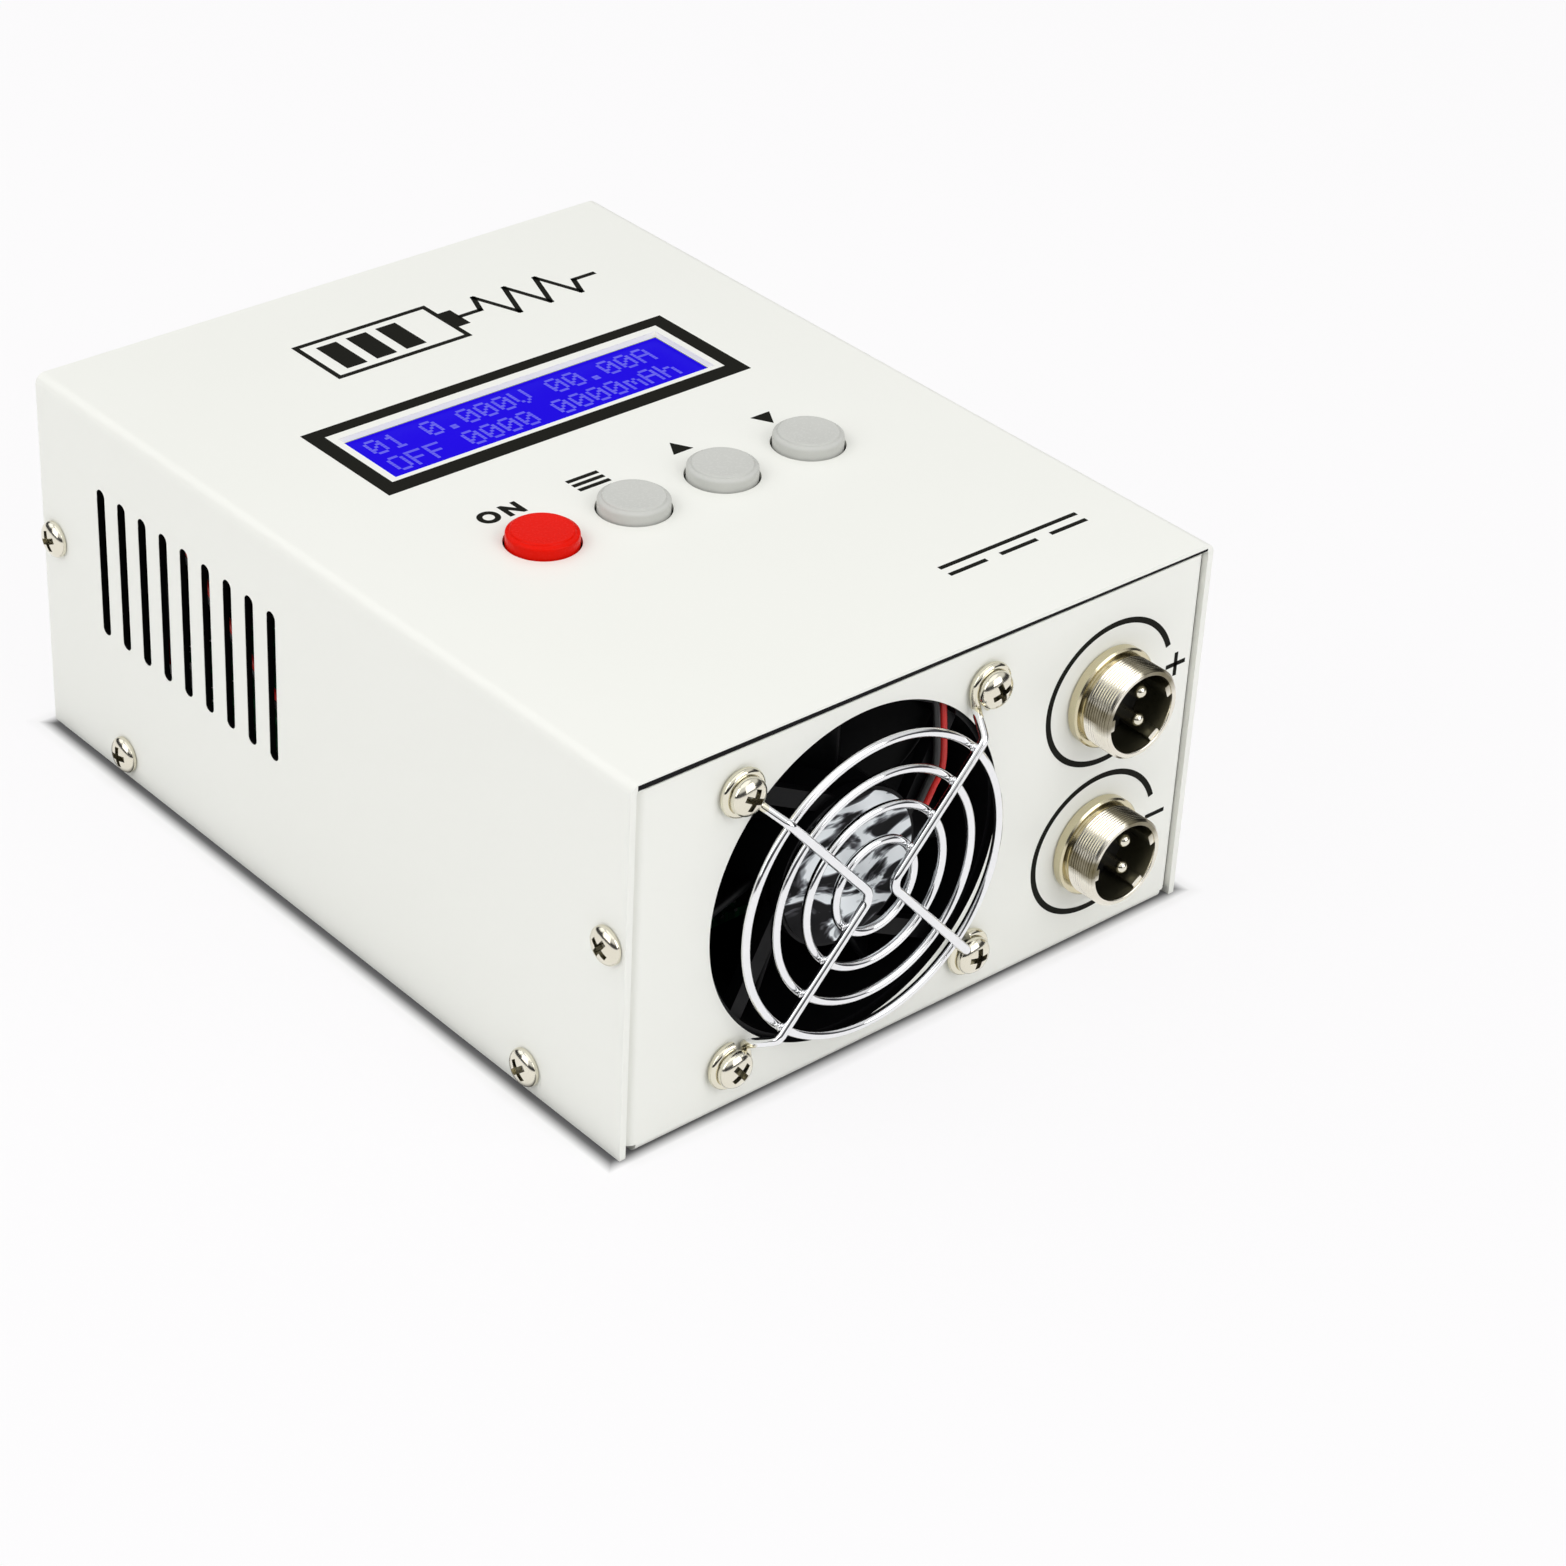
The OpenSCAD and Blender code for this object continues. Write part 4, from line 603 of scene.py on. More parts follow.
# Buttons
# Moulded caps, red for the first and grey for the rest, pushed on the square stems of the switches
# on the board below: a plain skirt, a rounded shoulder and a slightly dished top.
def turned(name, profile, steps=48):
    """A part turned about +Z: one point is extruded along the profile, and the line is spun."""
    piece = start(name, bpy.ops.mesh.primitive_plane_add, size=0.01)
    bpy.ops.object.mode_set(mode="EDIT")
    bpy.ops.mesh.merge(type="CENTER")
    bpy.ops.mesh.select_mode(type="VERT")
    bpy.ops.mesh.select_all(action="SELECT")
    here = Vector((0, 0, 0))
    for i, (r, z) in enumerate(profile):
        step = Vector((r, 0, z)) - here
        if i:
            bpy.ops.mesh.extrude_region_move(TRANSFORM_OT_translate={"value": step})
        else:
            bpy.ops.transform.translate(value=step)
        here += step
    bpy.ops.mesh.select_all(action="SELECT")
    bpy.ops.mesh.spin(steps=steps, angle=2 * math.pi, center=(0, 0, 0), axis=(0, 0, 1))
    close_up()
    return piece


def arc(x, z, r, first, last, steps):
    """Points on a quarter or other part of a circle, for a turned profile."""
    angles = [math.radians(first + (last - first) * i / steps) for i in range(steps + 1)]
    return [(x + r * math.cos(a), z + r * math.sin(a)) for a in angles]


def cap_finish(name, low, high):
    """Moulded plastic with a faint flow cloud and fine grain."""
    root = new_finish(name)
    flow, fine = speckle(root, 160), speckle(root, 2200)
    return looks(root, {"Base Color": flow.tint(low, high), "Roughness": 0.24 + fine * 0.06,
                        "Specular IOR Level": 0.06}, (fine, 0.000003, 0.02))


caps = {"red_cap": cap_finish("red_cap", (0.72, 0.006, 0.001), (0.78, 0.009, 0.003)),
        "grey_cap": cap_finish("grey_cap", (0.54, 0.545, 0.515), (0.58, 0.585, 0.555))}
CAP_TOP, CAP_FOOT, CAP_R, CAP_BORE, STEM_IN, STEM_OUT = 0.0704, 0.0639, 0.0060, 0.0048, 0.0028, 0.0034
ROOF, STEM_FOOT, CAP_EDGE = CAP_TOP - 0.0016, CAP_FOOT + 0.0007, 0.0002
cap_profile = [(STEM_IN, ROOF), (STEM_IN, STEM_FOOT), (STEM_OUT, STEM_FOOT), (STEM_OUT, ROOF),
               (CAP_BORE, ROOF), (CAP_BORE, CAP_FOOT), (CAP_R - CAP_EDGE, CAP_FOOT),
               (CAP_R, CAP_FOOT + CAP_EDGE), (CAP_R, CAP_TOP - 0.0011)]
cap_profile += arc(0.0055, CAP_TOP - 0.0009, 0.0005, 0, 60, 4) + [(0.0053, CAP_TOP - 0.0003)]
cap_profile += arc(0.00495, CAP_TOP - 0.0003, 0.0003, 20, 90, 4)
cap_profile += [(0.0044, CAP_TOP - 0.00003), (0.003, CAP_TOP - 0.00010), (0, CAP_TOP - 0.00013),
                (0, ROOF), (STEM_IN, ROOF)]
for x, key in zip(CAP_XS, ("on", "set", "inc", "dec")):
    colour = "red_cap" if key == "on" else "grey_cap"
    shell = turned(f"cap_{key}_moulding", cap_profile, 64)
    shell.location = (x, CAP_Y, 0)
    finish(shell, caps[colour], f"button_{key}", stands_for=f"cap_{key}")
    coat_node(f"plunger_{key}", white_plastic)
epoxy_black = grained("black_epoxy", (1500, 3), (0.016, 0.016, 0.016), (0.03, 0.03, 0.03), (0.5, 0.2),
                      (0.00003, 0.5))
coat_node("tact_housings", epoxy_black)


# Screws
# M3 pan heads with a cross recess, bright nickel with a warm tint, in the sides and round the fan.
# Each is a turned head with the cross driven into it.
def metal(name, low, high, rough, streak):
    """Plated or bare metal with fine marks."""
    root = new_finish(name)
    marks, haze = speckle(root, streak), speckle(root, 90)
    return looks(root, {"Base Color": haze.tint(low, high), "Metallic": 1.0,
                        "Roughness": rough + marks * 0.1}, (marks, 0.000012, 0.35))


nickel = metal("warm_nickel", (0.74, 0.70, 0.57), (0.84, 0.81, 0.70), 0.1, 1600)
zinc = metal("zinc_plate", (0.55, 0.56, 0.57), (0.68, 0.68, 0.68), 0.25, 900)


def cross_screw(head_r, head_h, shank_r, length):
    """A pan-head screw with its seat at z = 0 and its shank below."""
    rim, edge, long, wide, deep, taper = head_h * 0.25, 0.00015, 1.35, 0.38, 2.8, 0.7
    profile = [(0, -length), (shank_r * 0.7, -length), (shank_r, -length + shank_r * 0.4),
               (shank_r, 0), (head_r - edge, 0), (head_r, edge), (head_r, rim)]
    profile += [(head_r * k, rim + (head_h - rim) * math.sqrt(1 - k ** 2.1))
                for k in (0.985, 0.94, 0.87, 0.78, 0.66, 0.5, 0.34, 0.18, 0)]
    screw = turned("screw", profile, 40)
    for angle in (0, math.pi / 2):
        driver = block("driver", (head_r * long, head_r * wide, head_h * deep), (0, 0, head_h), angle)
        bpy.ops.object.mode_set(mode="EDIT")
        pick(driver, lambda middle, normal: normal.z < -0.5)
        bpy.ops.transform.resize(value=(taper, taper, 1), center_override=(0, 0, 0))
        bpy.ops.object.mode_set(mode="OBJECT")
        cut(screw, driver)
    ease(screw, 0.00006, 48, 1)
    return screw


def copies(name, model, places):
    """A copy of a model with its own mesh for each place, given as a matrix, joined as one."""
    made = []
    for place in places:
        copy = placed(name, model.data.copy())
        copy.matrix_world = place
        made.append(settle(copy))
    bpy.data.objects.remove(model)
    return join(name, made)


def facing(x, y, z, axis, spin):
    """A place for a part made along +Z, turned to point along an axis."""
    turn = Vector(axis).to_track_quat("Z", "Y").to_matrix().to_4x4()
    return Matrix.Translation((x, y, z)) @ turn @ Matrix.Rotation(spin, 4, "Z")


HEAD_R, SHANK_R, SIDE_SEAT = 0.00325, 0.00145, 0.06005
side_places = [facing(side * SIDE_SEAT, y, z, (side, 0, 0), 0.4 + 1.3 * i + side)
               for side in (-1, 1) for i, (y, z) in enumerate(SIDE_SCREWS)]
finish(copies("side_screws", cross_screw(HEAD_R, 0.002, SHANK_R, 0.006), side_places), nickel,
       stands_for="case_screws")

FAN_PITCH, ARM_R, EYE_R, GAP = 0.025, 0.0008, 0.0034, 0.00002
ARM_EYE = ARM_R + GAP
SCREW_SEAT = ARM_EYE + ARM_R + GAP
fan_places = [facing(FAN_X + sx * FAN_PITCH, PANEL_Y - SCREW_SEAT, FAN_Z + sz * FAN_PITCH,
                     (0, -1, 0), 0.5 + sx * 0.4 + sz) for sx in (-1, 1) for sz in (-1, 1)]
finish(copies("fan_screws_finished", cross_screw(HEAD_R, 0.0022, SHANK_R, 0.0094), fan_places),
       nickel, stands_for="fan_screws")
for node in ("fan_nuts", "spacer_screws", "board_screws", "board_pillars", "board_spacers",
             "transistor_screws", "fan_shaft", "inlet_contact"):
    coat_node(node, zinc)


# Fan guard
# Two bent chromed wires with an eye at each end cross in front of four rings, which are
# spot-welded to their backs. The screws of the fan clamp the eyes, and warm their reflections.
WARM_R = 0.0046
plate = new_finish("chrome_plate")
plate_x, _, plate_z = plate.place.split()
beside_screw, above_screw = abs(plate_x - FAN_X) - FAN_PITCH, abs(plate_z - FAN_Z) - FAN_PITCH
warm = beside_screw * beside_screw + above_screw * above_screw < WARM_R ** 2
polish = speckle(plate, 700)
plating_tone = polish.tint((0.84, 0.85, 0.86), (0.90, 0.90, 0.91))
chrome = looks(plate, {"Base Color": warm.tint(plating_tone, (0.78, 0.745, 0.61)), "Metallic": 1.0,
                       "Roughness": 0.05 + polish * 0.1}, (polish, 0.000012, 0.35))


def soften(points, reach):
    """The inner points of a route with each corner cut to a short curve."""
    route = []
    for before, here, after in zip(points, points[1:], points[2:]):
        a = here + reach * (before - here).normalized()
        b = here + reach * (after - here).normalized()
        route += [a, (a * 3 + here * 6 + b) / 10, (a + b) / 4 + here / 2,
                  (a + here * 6 + b * 3) / 10, b]
    return route


def wire(name, points, radius, rings=16):
    """A round wire along a route, as a bevelled curve that is made a mesh."""
    shape = bpy.data.curves.new(name, "CURVE")
    shape.dimensions = "3D"
    shape.bevel_depth = radius
    shape.bevel_resolution = rings // 4
    shape.use_fill_caps = True
    line = shape.splines.new("POLY")
    line.points.add(len(points) - 1)
    for point, place in zip(line.points, points):
        point.co = (*place, 1)
    placed(name, shape)
    bpy.ops.object.convert(target="MESH")
    return bpy.context.active_object


EYE_FROM, EYE_TURN, EYE_STEPS, EYE_NECK, ARM_RISE, ARM_BEND = 262, 282, 36, 0.0004, 0.0049, 0.0009
APEX_X, APEX_BEND, APEX_FROM, APEX_STEP = 0.0028, 0.0024, 50, 10
RING_WIRE_R, ARM_FRONT = 0.00075, ARM_EYE + ARM_RISE
eye = [Vector((FAN_PITCH + EYE_R * math.cos(a), FAN_PITCH + EYE_R * math.sin(a), ARM_EYE))
       for a in (math.radians(EYE_FROM + i * EYE_TURN / EYE_STEPS) for i in range(EYE_STEPS + 1))]
inner = FAN_PITCH - EYE_R * math.sqrt(0.5) - EYE_NECK
risen = inner - ARM_RISE * 0.5
apex = [Vector((APEX_X + APEX_BEND * (1 - math.cos(a)), APEX_BEND * math.sin(a), ARM_FRONT))
        for a in (math.radians(APEX_FROM - APEX_STEP * i) for i in range(6))]
half = eye + soften([eye[-1], Vector((inner, inner, ARM_EYE)), Vector((risen, risen, ARM_FRONT)),
                     apex[0]], ARM_BEND) + apex
route = half + [Vector((p.x, -p.y, p.z)) for p in reversed(half[:-1])]
arms = []
for side in (1, -1):
    arm = wire("guard_arm", [Vector((side * p.x, side * p.y, p.z)) for p in route], ARM_R)
    arms.append(face_front(arm, FAN_X, FAN_Z))
finish(join("guard_arms_finished", arms), chrome, stands_for="guard_arms")

RING_Z, RING_RS = ARM_FRONT - ARM_R - RING_WIRE_R - GAP, [0.026 - 0.006 * i for i in range(4)]
hoops = []
for r in RING_RS:
    hoop = settle(start("guard_ring", bpy.ops.mesh.primitive_torus_add, major_radius=r,
                        minor_radius=RING_WIRE_R, major_segments=128, minor_segments=16,
                        location=(0, 0, RING_Z)))
    hoops.append(face_front(hoop, FAN_X, FAN_Z))
WELD_R, WELD_FORM = 0.0007, (1.2, 1.2, 0.8)
near, far = Vector(apex[0].to_2d()), Vector((risen, risen))
run = (far - near).normalized()
for r in RING_RS:
    along = math.sqrt(r * r - near.length_squared + near.dot(run) ** 2) - near.dot(run)
    crossing = near + along * run
    for sx in (-1, 1):
        for sz in (-1, 1):
            spot = start("weld", bpy.ops.mesh.primitive_uv_sphere_add, segments=12, ring_count=8,
                         radius=WELD_R, location=(sx * crossing.x, sz * crossing.y, RING_Z + RING_WIRE_R))
            spot.scale = WELD_FORM
            hoops.append(face_front(settle(spot), FAN_X, FAN_Z))
finish(join("guard_rings_finished", hoops), chrome, stands_for="guard_rings")


# Fan
# A bought-in 60 mm axial fan in glossy black plastic: a square housing with a round duct, and an
# impeller of seven twisted blades on a hub. It blows out through the guard.
fan_black = grained("fan_plastic", (1300,), (0.002, 0.002, 0.002), (0.004, 0.004, 0.005), (0.32, 0.1),
                    (0.00002, 0.3), 0.12)
coat_node("fan_frame", fan_black)

FAN_FRONT_Y, DUCT_R, HUB_R, HUB_FRONT, HUB_BACK = -0.0776, 0.0288, 0.0135, 0.0049, 0.0225
HUB_BEND, HUB_FLAT_R = 0.0012, 0.0020
SHAFT_SEAT, SHAFT_SEAT_R, CUP_FLOOR, CUP_R = HUB_BACK - 0.0007, 0.00152, HUB_BACK - 0.002, 0.01222
hub_profile = [(0, -SHAFT_SEAT), (SHAFT_SEAT_R, -SHAFT_SEAT), (SHAFT_SEAT_R, -CUP_FLOOR),
               (CUP_R, -CUP_FLOOR), (CUP_R, -HUB_FRONT), (HUB_R - 0.0001, -HUB_FRONT),
               (HUB_R, -HUB_FRONT - 0.0002), (HUB_R, -HUB_BACK + HUB_BEND)]
hub_profile += arc(HUB_R - HUB_BEND, -HUB_BACK + HUB_BEND, HUB_BEND, 0, -90, 5)
hub_profile += [(HUB_FLAT_R, -HUB_BACK), (0, -HUB_BACK)]
impeller = [turned("hub", hub_profile, 72)]
BLADES, BLADE_T, TIP_R, ROOT_R, SWEEP, CAMBER = 7, 0.0012, DUCT_R - 0.0008, HUB_R - 0.0006, 0.0016, 0.0012
HALF_CHORD, CHORD_GAIN, ROOT_PITCH, TWIST = 0.0052, 0.0042, 50, 14
for k in range(BLADES):
    blade = start("blade", bpy.ops.mesh.primitive_grid_add, x_subdivisions=14, y_subdivisions=10, size=2)
    for point in blade.data.vertices:
        out, along = (point.co.x + 1) / 2, point.co.y
        r = ROOT_R + out * (TIP_R - ROOT_R)
        reach = HALF_CHORD + CHORD_GAIN * out
        pitch = math.radians(ROOT_PITCH - TWIST * out)
        offset = along * reach + SWEEP * out * out
        depth = (HUB_FRONT + HUB_BACK) / 2 + along * reach * math.tan(pitch)
        depth += CAMBER * (1 - along * along)
        angle = offset / r + 2 * math.pi * k / BLADES
        point.co = (r * math.cos(angle), r * math.sin(angle), -depth)
    modify(blade, "SOLIDIFY", thickness=BLADE_T, offset=0)
    ease(blade, 0.0004, 60)
    impeller.append(blade)
finish(face_front(join("impeller_moulding", impeller), FAN_X, FAN_Z, FAN_FRONT_Y), fan_black,
       "impeller", stands_for="fan_rotor", smooth=50)

foil = new_finish("silver_foil_label")
centre = foil.node("Mapping", sockets={"Vector": foil.place, "Location": (-FAN_X, 0, -FAN_Z)})
foil_x, _, foil_z = centre.split()
swirl = foil.node("TexNoise", sockets={"Vector": foil.node("Mapping", sockets={
    "Vector": centre, "Rotation": (0, math.radians(-52), 0), "Scale": (1, 1, 2.6)}),
    "Scale": 62.0, "Detail": 3.0, "Distortion": 2.2})
# The foil's own swirl plus a painted reflection: the ramp's input rises across the label, so bright patches
# gather to one side and upward.
foil_swirl_and_painted_sheen = foil.node("ValToRGB", {"stops": [(0.44, (0.006, 0.006, 0.007)), (0.49, (0.10, 0.10, 0.11)),
                                           (0.52, (0.38, 0.41, 0.43)), (0.55, (0.90, 0.94, 0.96))]},
                    {0: swirl + foil_x * 5.0 + foil_z * 1.5})
coat_node("fan_label", looks(foil, {"Base Color": foil_swirl_and_painted_sheen, "Metallic": 0.95,
                                    "Roughness": 0.25 + swirl * 0.2}, (swirl, 0.00012, 0.4)))
copper = metal("copper", (0.55, 0.24, 0.12), (0.68, 0.33, 0.17), 0.3, 900)
brass = metal("turned_brass", (0.62, 0.45, 0.18), (0.74, 0.56, 0.26), 0.22, 900)
for node, material in (("fan_stator", copper), ("fan_bearing", brass), ("fan_magnet", epoxy_black),
                       ("lead_posts", brass), ("shunt", copper)):
    coat_node(node, material)


# Wires
# Two thin wires run from the hub along a strut of the fan and back inside the left wall to their
# plug, and two thicker ones join the sockets to the main board. All have soft coloured jackets.
# Their points are in millimetres, those of the thin pair with the direction from red to black.
jackets = {colour: grained(f"{colour}_jacket", (500,), low, high, (0.32, 0.1), (0.00004, 0.4))
           for colour, low, high in (("red", (0.55, 0.012, 0.010), (0.68, 0.022, 0.016)),
                                     ("black", (0.012, 0.012, 0.012), (0.022, 0.022, 0.022)))}
FAN_WIRE_ROWS = [
    ((1.034, -76.45, 39.477), (-0.906, 0, 0.423)), ((2.628, -76.45, 42.410), (-0.906, 0, 0.423)),
    ((4.357, -76.45, 46.221), (-0.906, 0, 0.423)), ((3.761, -76.45, 54.732), (-0.906, 0, 0.423)),
    ((3.517, -75.8, 60.3), (-1, 0, 0)), ((3.517, -74.8, 64.7), (-1, 0, 0)),
    ((3.517, -65.1, 65.3), (-1, 0, 0)), ((0.517, -53.6, 65.3), (-0.7, -0.7, 0)),
    ((-12, -48.6, 63.8), (0, -1, 0)), ((-36.2, -45.6, 56.3), (0, -1, 0)),
    ((-51.9, -38.6, 52.1), (-0.7, -0.7, 0)), ((-53.9, -24.56, 48.5), (-0.5, -0.5, -0.7)),
    ((-54.9, -7.4, 44.3), (0, 0, -1)), ((-54.9, 13.075, 32.3), (0, 0, -1)),
    ((-54.9, 30.625, 40.1), (0, 0, -1)), ((-54.9, 47.2, 51.5), (0, 0, -1)),
    ((-54.5, 54.025, 49.1), (0, -0.7, -0.7)), ((-49.3, 58.9, 35.8), (0, -1, 0)),
    ((-48.3, 58.9, 16.85), (0, -1, 0)),
]
LEAD_ROUTES = {
    "positive": [(40.1, -64.75, 47.4), (40.1, -63.8, 47.4), (40.1, -58.8, 47.4), (33.231, -43.6, 39.1),
                 (27.962, -38.6, 22.8), (27.962, -38.6, 16.8), (27.962, -38.6, 15.85)],
    "negative": [(40.1, -64.75, 19), (40.1, -63.8, 19), (40.1, -58.8, 19), (40.023, -43.6, 24.9),
                 (41.546, -38.6, 22.8), (41.546, -38.6, 16.8), (41.546, -38.6, 15.85)],
}


def flowing(points, steps):
    """A smooth curve through given points in millimetres, as points in metres."""
    points = [Vector(p) / 1000 for p in points]
    route = []
    for i in range(len(points) - 1):
        a, b, c, d = (points[min(max(i + k, 0), len(points) - 1)] for k in (-1, 0, 1, 2))
        for k in range(steps):
            t = k / steps
            route.append((b * 2 + (c - a) * t + (a * 2 - b * 5 + c * 4 - d) * t * t
                          + (b * 3 - a - c * 3 + d) * t ** 3) / 2)
    return route + [points[-1]]


THIN_R, LEAD_R, HALF_GAP = 0.00062, 0.00165, 0.8
for colour, side in (("red", -1), ("black", 1)):
    rows = [Vector(place) + Vector(way) * side * HALF_GAP for place, way in FAN_WIRE_ROWS]
    finish(wire(f"fan_lead_{colour}", flowing(rows, 8), THIN_R, 12), jackets[colour],
           stands_for=f"fan_wire_{colour}", smooth=60)
for pole, colour in (("positive", "red"), ("negative", "black")):
    finish(wire(f"battery_lead_{pole}", flowing(LEAD_ROUTES[pole], 10), LEAD_R, 20), jackets[colour],
           stands_for=f"lead_{pole}", smooth=60)
coat_node("fan_header", white_plastic)


# Sockets
# Round two-contact panel sockets with a thread for the plug's ring: a nickel-plated shell with
# three keys inside, painted reflections as dark bands along its top and its left side, painted shade
# darkening its bore, a black insulator and two bright pins.
KEY_SIZE, KEY_PLACE, KEY_ANGLES = (0.0012, 0.0022, 0.0067), (0.00635, 0, 0.0044), (180, 20, 305)


def socket_shell(name, z):
    """A threaded shell turned in one piece, with its keys."""
    tail, tail_r, rear_r, mouth_r, nose = -0.011, 0.0072, 0.0060, 0.0068, 0.0078
    flange_r, flange_t, chamfer, neck_r = 0.0088, 0.0020, 0.0003, 0.00735
    crest_r, root_r, pitch, turns, thread = 0.00795, 0.00770, 0.0005, 10, 0.0027
    profile = [(rear_r, tail), (tail_r, tail), (tail_r, 0), (flange_r - chamfer, 0),
               (flange_r, chamfer), (flange_r, flange_t - chamfer), (flange_r - chamfer, flange_t),
               (neck_r, flange_t), (neck_r, 0.0025)]
    for i in range(turns):
        foot = thread + i * pitch
        profile += [(root_r, foot), (crest_r, foot + pitch * 0.42), (crest_r, foot + pitch * 0.58)]
    profile += [(root_r, thread + turns * pitch), (0.0076, nose)]
    profile += arc(0.0074, nose - 0.00005, 0.00025, 30, 90, 3) + arc(0.0070, nose, 0.0002, 90, 180, 3)
    profile += [(mouth_r, 0), (rear_r, 0), (rear_r, tail)]
    parts = [turned(name, profile, 96)]
    for angle in KEY_ANGLES:
        key = block("key", KEY_SIZE, KEY_PLACE)
        modify(key, "BEVEL", width=0.0002, segments=2)
        key.rotation_euler = (0, 0, math.radians(angle))
        parts.append(settle(key))
    return face_front(join(name, parts), SOCKET_X, z)


insulator_black = grained("black_insulator", (1800,), (0.005, 0.005, 0.005), (0.011, 0.011, 0.011),
                          (0.4, 0.15), (0.00002, 0.4))
BORE_R, RIM_Y, FLANGE_Y = 0.00691, -0.0864, -0.0809
plating = new_finish("socket_nickel")
turned_marks, tarnish = speckle(plating, 2600, 2, (0.15, 1, 0.15)), speckle(plating, 240, 3)
off_axis, depth, level = plating.place.split()
off_axis = off_axis - SOCKET_X
lower = level < sum(SOCKET_ZS) / 2
level = level - SOCKET_ZS[0] + lower * (SOCKET_ZS[0] - SOCKET_ZS[1])
# Painted shade: the shell's wall inside its bore is darker.
painted_bore_shade = (off_axis * off_axis + level * level < BORE_R ** 2) * (depth > RIM_Y)
bright = tarnish.tint((0.74, 0.70, 0.58), (0.88, 0.85, 0.77))
turn = plating.math("ARCTAN2", level, off_axis) / (2 * math.pi) + 0.5
# Painted reflections: dark bands round the shell's axis, along its top and its left side.
painted_reflection_bands = plating.node("ValToRGB", {"stops": [(place, (grey, grey, grey)) for place, grey in (
    (0.0, 0.8), (0.03, 0), (0.54, 0), (0.6, 0.9), (0.755, 0.9), (0.79, 0), (0.92, 0), (0.95, 0.9))]},
    {0: turn + (tarnish - 0.5) * 0.04})
plated = (painted_reflection_bands * (0.7 + tarnish * 0.5)).tint(bright, (0.13, 0.108, 0.05))
plated = (depth > FLANGE_Y).tint(plated, (0.66, 0.60, 0.42))
socket_nickel = looks(plating, {"Base Color": painted_bore_shade.tint(plated, (0.17, 0.16, 0.11)), "Metallic": 1.0,
                                "Roughness": 0.12 + turned_marks * 0.12 + painted_bore_shade * 0.2},
                      (turned_marks, 0.00001, 0.4))
for sign, z in zip(("pos", "neg"), SOCKET_ZS):
    finish(socket_shell(f"socket_{sign}_shell_finished", z), socket_nickel,
           stands_for=f"socket_{sign}_shell", smooth=32)
    coat_node(f"socket_{sign}_insulator", insulator_black)
    coat_node(f"socket_{sign}_contacts", nickel)
    coat_node(f"socket_{sign}_nut", nickel)


# Heat sink
# An extruded aluminium block of level fins with four power transistors screwed to its side, as
# seen through the slots. The saw and the die leave fine lines along the fins.
extrusion = new_finish("extruded_aluminium")
die_lines = speckle(extrusion, 1500, 2, (1, 0.03, 1))
coat_node("heat_sink", looks(
    extrusion, {"Base Color": die_lines.tint((0.42, 0.42, 0.43), (0.56, 0.56, 0.57)),
                "Metallic": 1.0, "Roughness": 0.36 + die_lines * 0.15}, (die_lines, 0.00003, 0.5)))
coat_node("transistors", epoxy_black)
coat_node("board_chips", epoxy_black)


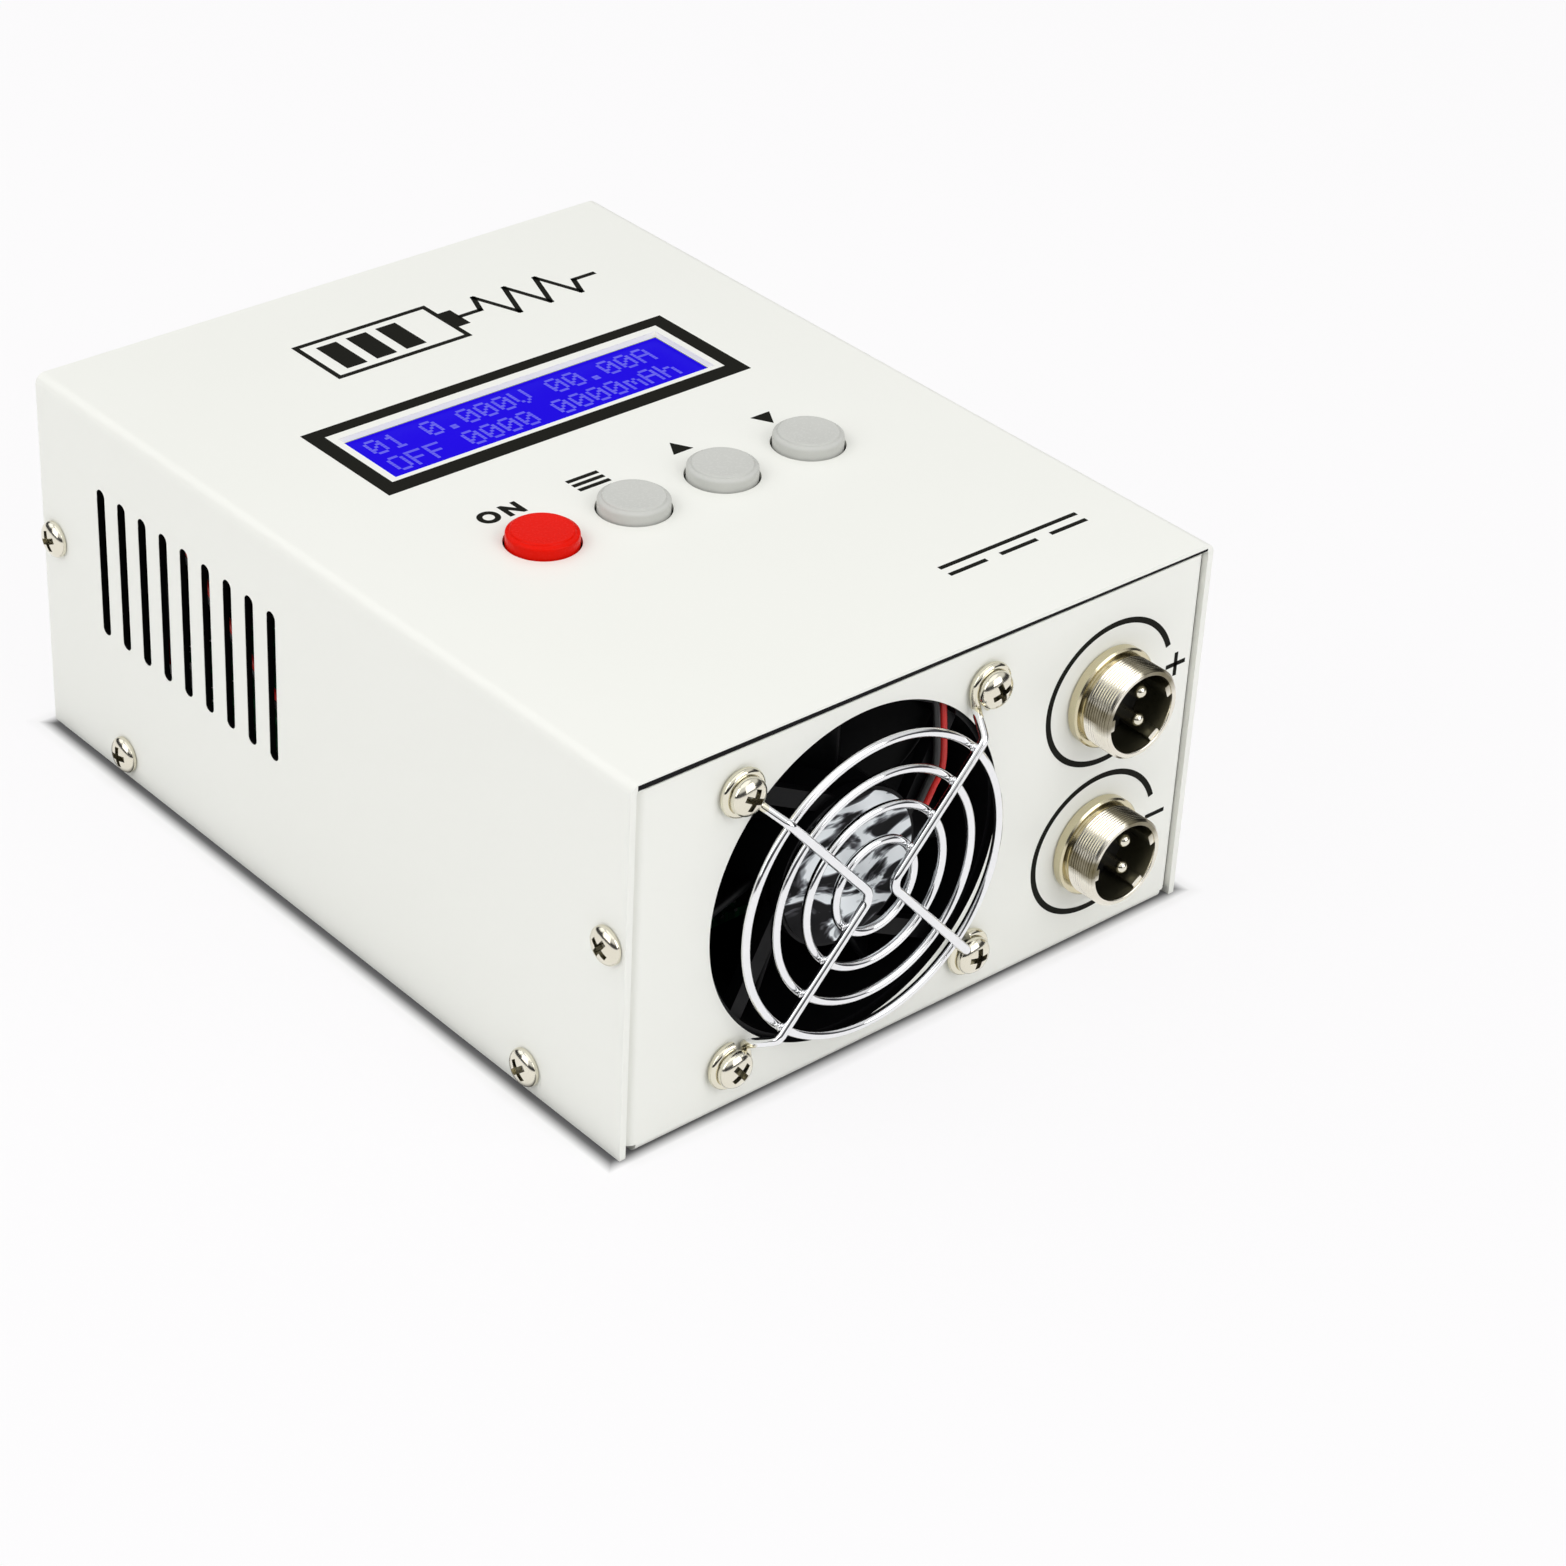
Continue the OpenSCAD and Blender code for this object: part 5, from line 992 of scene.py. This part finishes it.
# Power parts
# What else stands on the main board: a wound ring core, four capacitors in dark sleeves, and the
# flat cable with its plugs.
winding = new_finish("enamelled_winding")
core = sum(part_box("inductor"), Vector()) / 2
ring_x, ring_y, _ = winding.node("Mapping", sockets={
    "Vector": winding.place, "Location": (-core.x, -core.y, 0)}).split()
strands = (ring_x.math("ARCTAN2", ring_x, ring_y) * 44).wave()
coat_node("inductor", looks(winding, {
    "Base Color": strands.tint((0.16, 0.05, 0.02), (0.62, 0.26, 0.10)),
    "Metallic": 0.6, "Roughness": 0.4 - strands * 0.12}, (strands, 0.0005, 0.8)))

sleeve = new_finish("capacitor_sleeve")
sleeve_noise = speckle(sleeve, 300)
coat_node("capacitors", looks(sleeve, {
    "Base Color": sleeve_noise.tint((0.008, 0.010, 0.022), (0.015, 0.018, 0.035)),
    "Roughness": 0.3 + sleeve_noise * 0.1}, (sleeve.place.split()[2] * 40 + sleeve_noise, 0.00002, 0.3)))

RIB_RATE, UPPER_Y, LOWER_Y, CABLE_BEND, CABLE_HALF_W = 4947.0, 0.0379, 0.0549, 0.0085, 0.0099
flat_cable = new_finish("grey_flat_cable")
ridges = (flat_cable.place.split()[0] * RIB_RATE).wave()
cable_grey = looks(flat_cable, {"Base Color": ridges.tint((0.26, 0.26, 0.27), (0.42, 0.42, 0.43)),
                                "Roughness": 0.5 - ridges * 0.08}, (ridges, 0.0002, 0.8))
cable_route = [(UPPER_Y, 0.05295), (UPPER_Y, 0.0474)]
cable_route += arc(UPPER_Y + CABLE_BEND, 0.0419, CABLE_BEND, 180, 270, 10)
cable_route += arc(LOWER_Y - CABLE_BEND, 0.0249, CABLE_BEND, 81, 0, 9)
cable_route += [(LOWER_Y, 0.0194), (LOWER_Y, 0.01385)]
cable = start("flat_cable", bpy.ops.mesh.primitive_grid_add, x_subdivisions=16,
              y_subdivisions=len(cable_route) - 1, size=2)
for point in cable.data.vertices:
    y, z = cable_route[round((point.co.y + 1) / 2 * (len(cable_route) - 1))]
    point.co = (WINDOW_X + point.co.x * CABLE_HALF_W, y, z)
modify(cable, "SOLIDIFY", thickness=0.0009, offset=0)
ease(cable, 0.0002, 60)
finish(cable, cable_grey, stands_for="ribbon_cable", smooth=40)
coat_node("ribbon_headers", epoxy_black)


# Rear panel
# The power inlet's black collar and the white shroud of the data port come through the rear panel
# from the main board, with gilt pins in the port.
coat_node("power_inlet", insulator_black)
coat_node("data_port", white_plastic)
coat_node("data_port_pins", metal("gilt_pins", (0.78, 0.58, 0.22), (0.88, 0.68, 0.30), 0.2, 900))
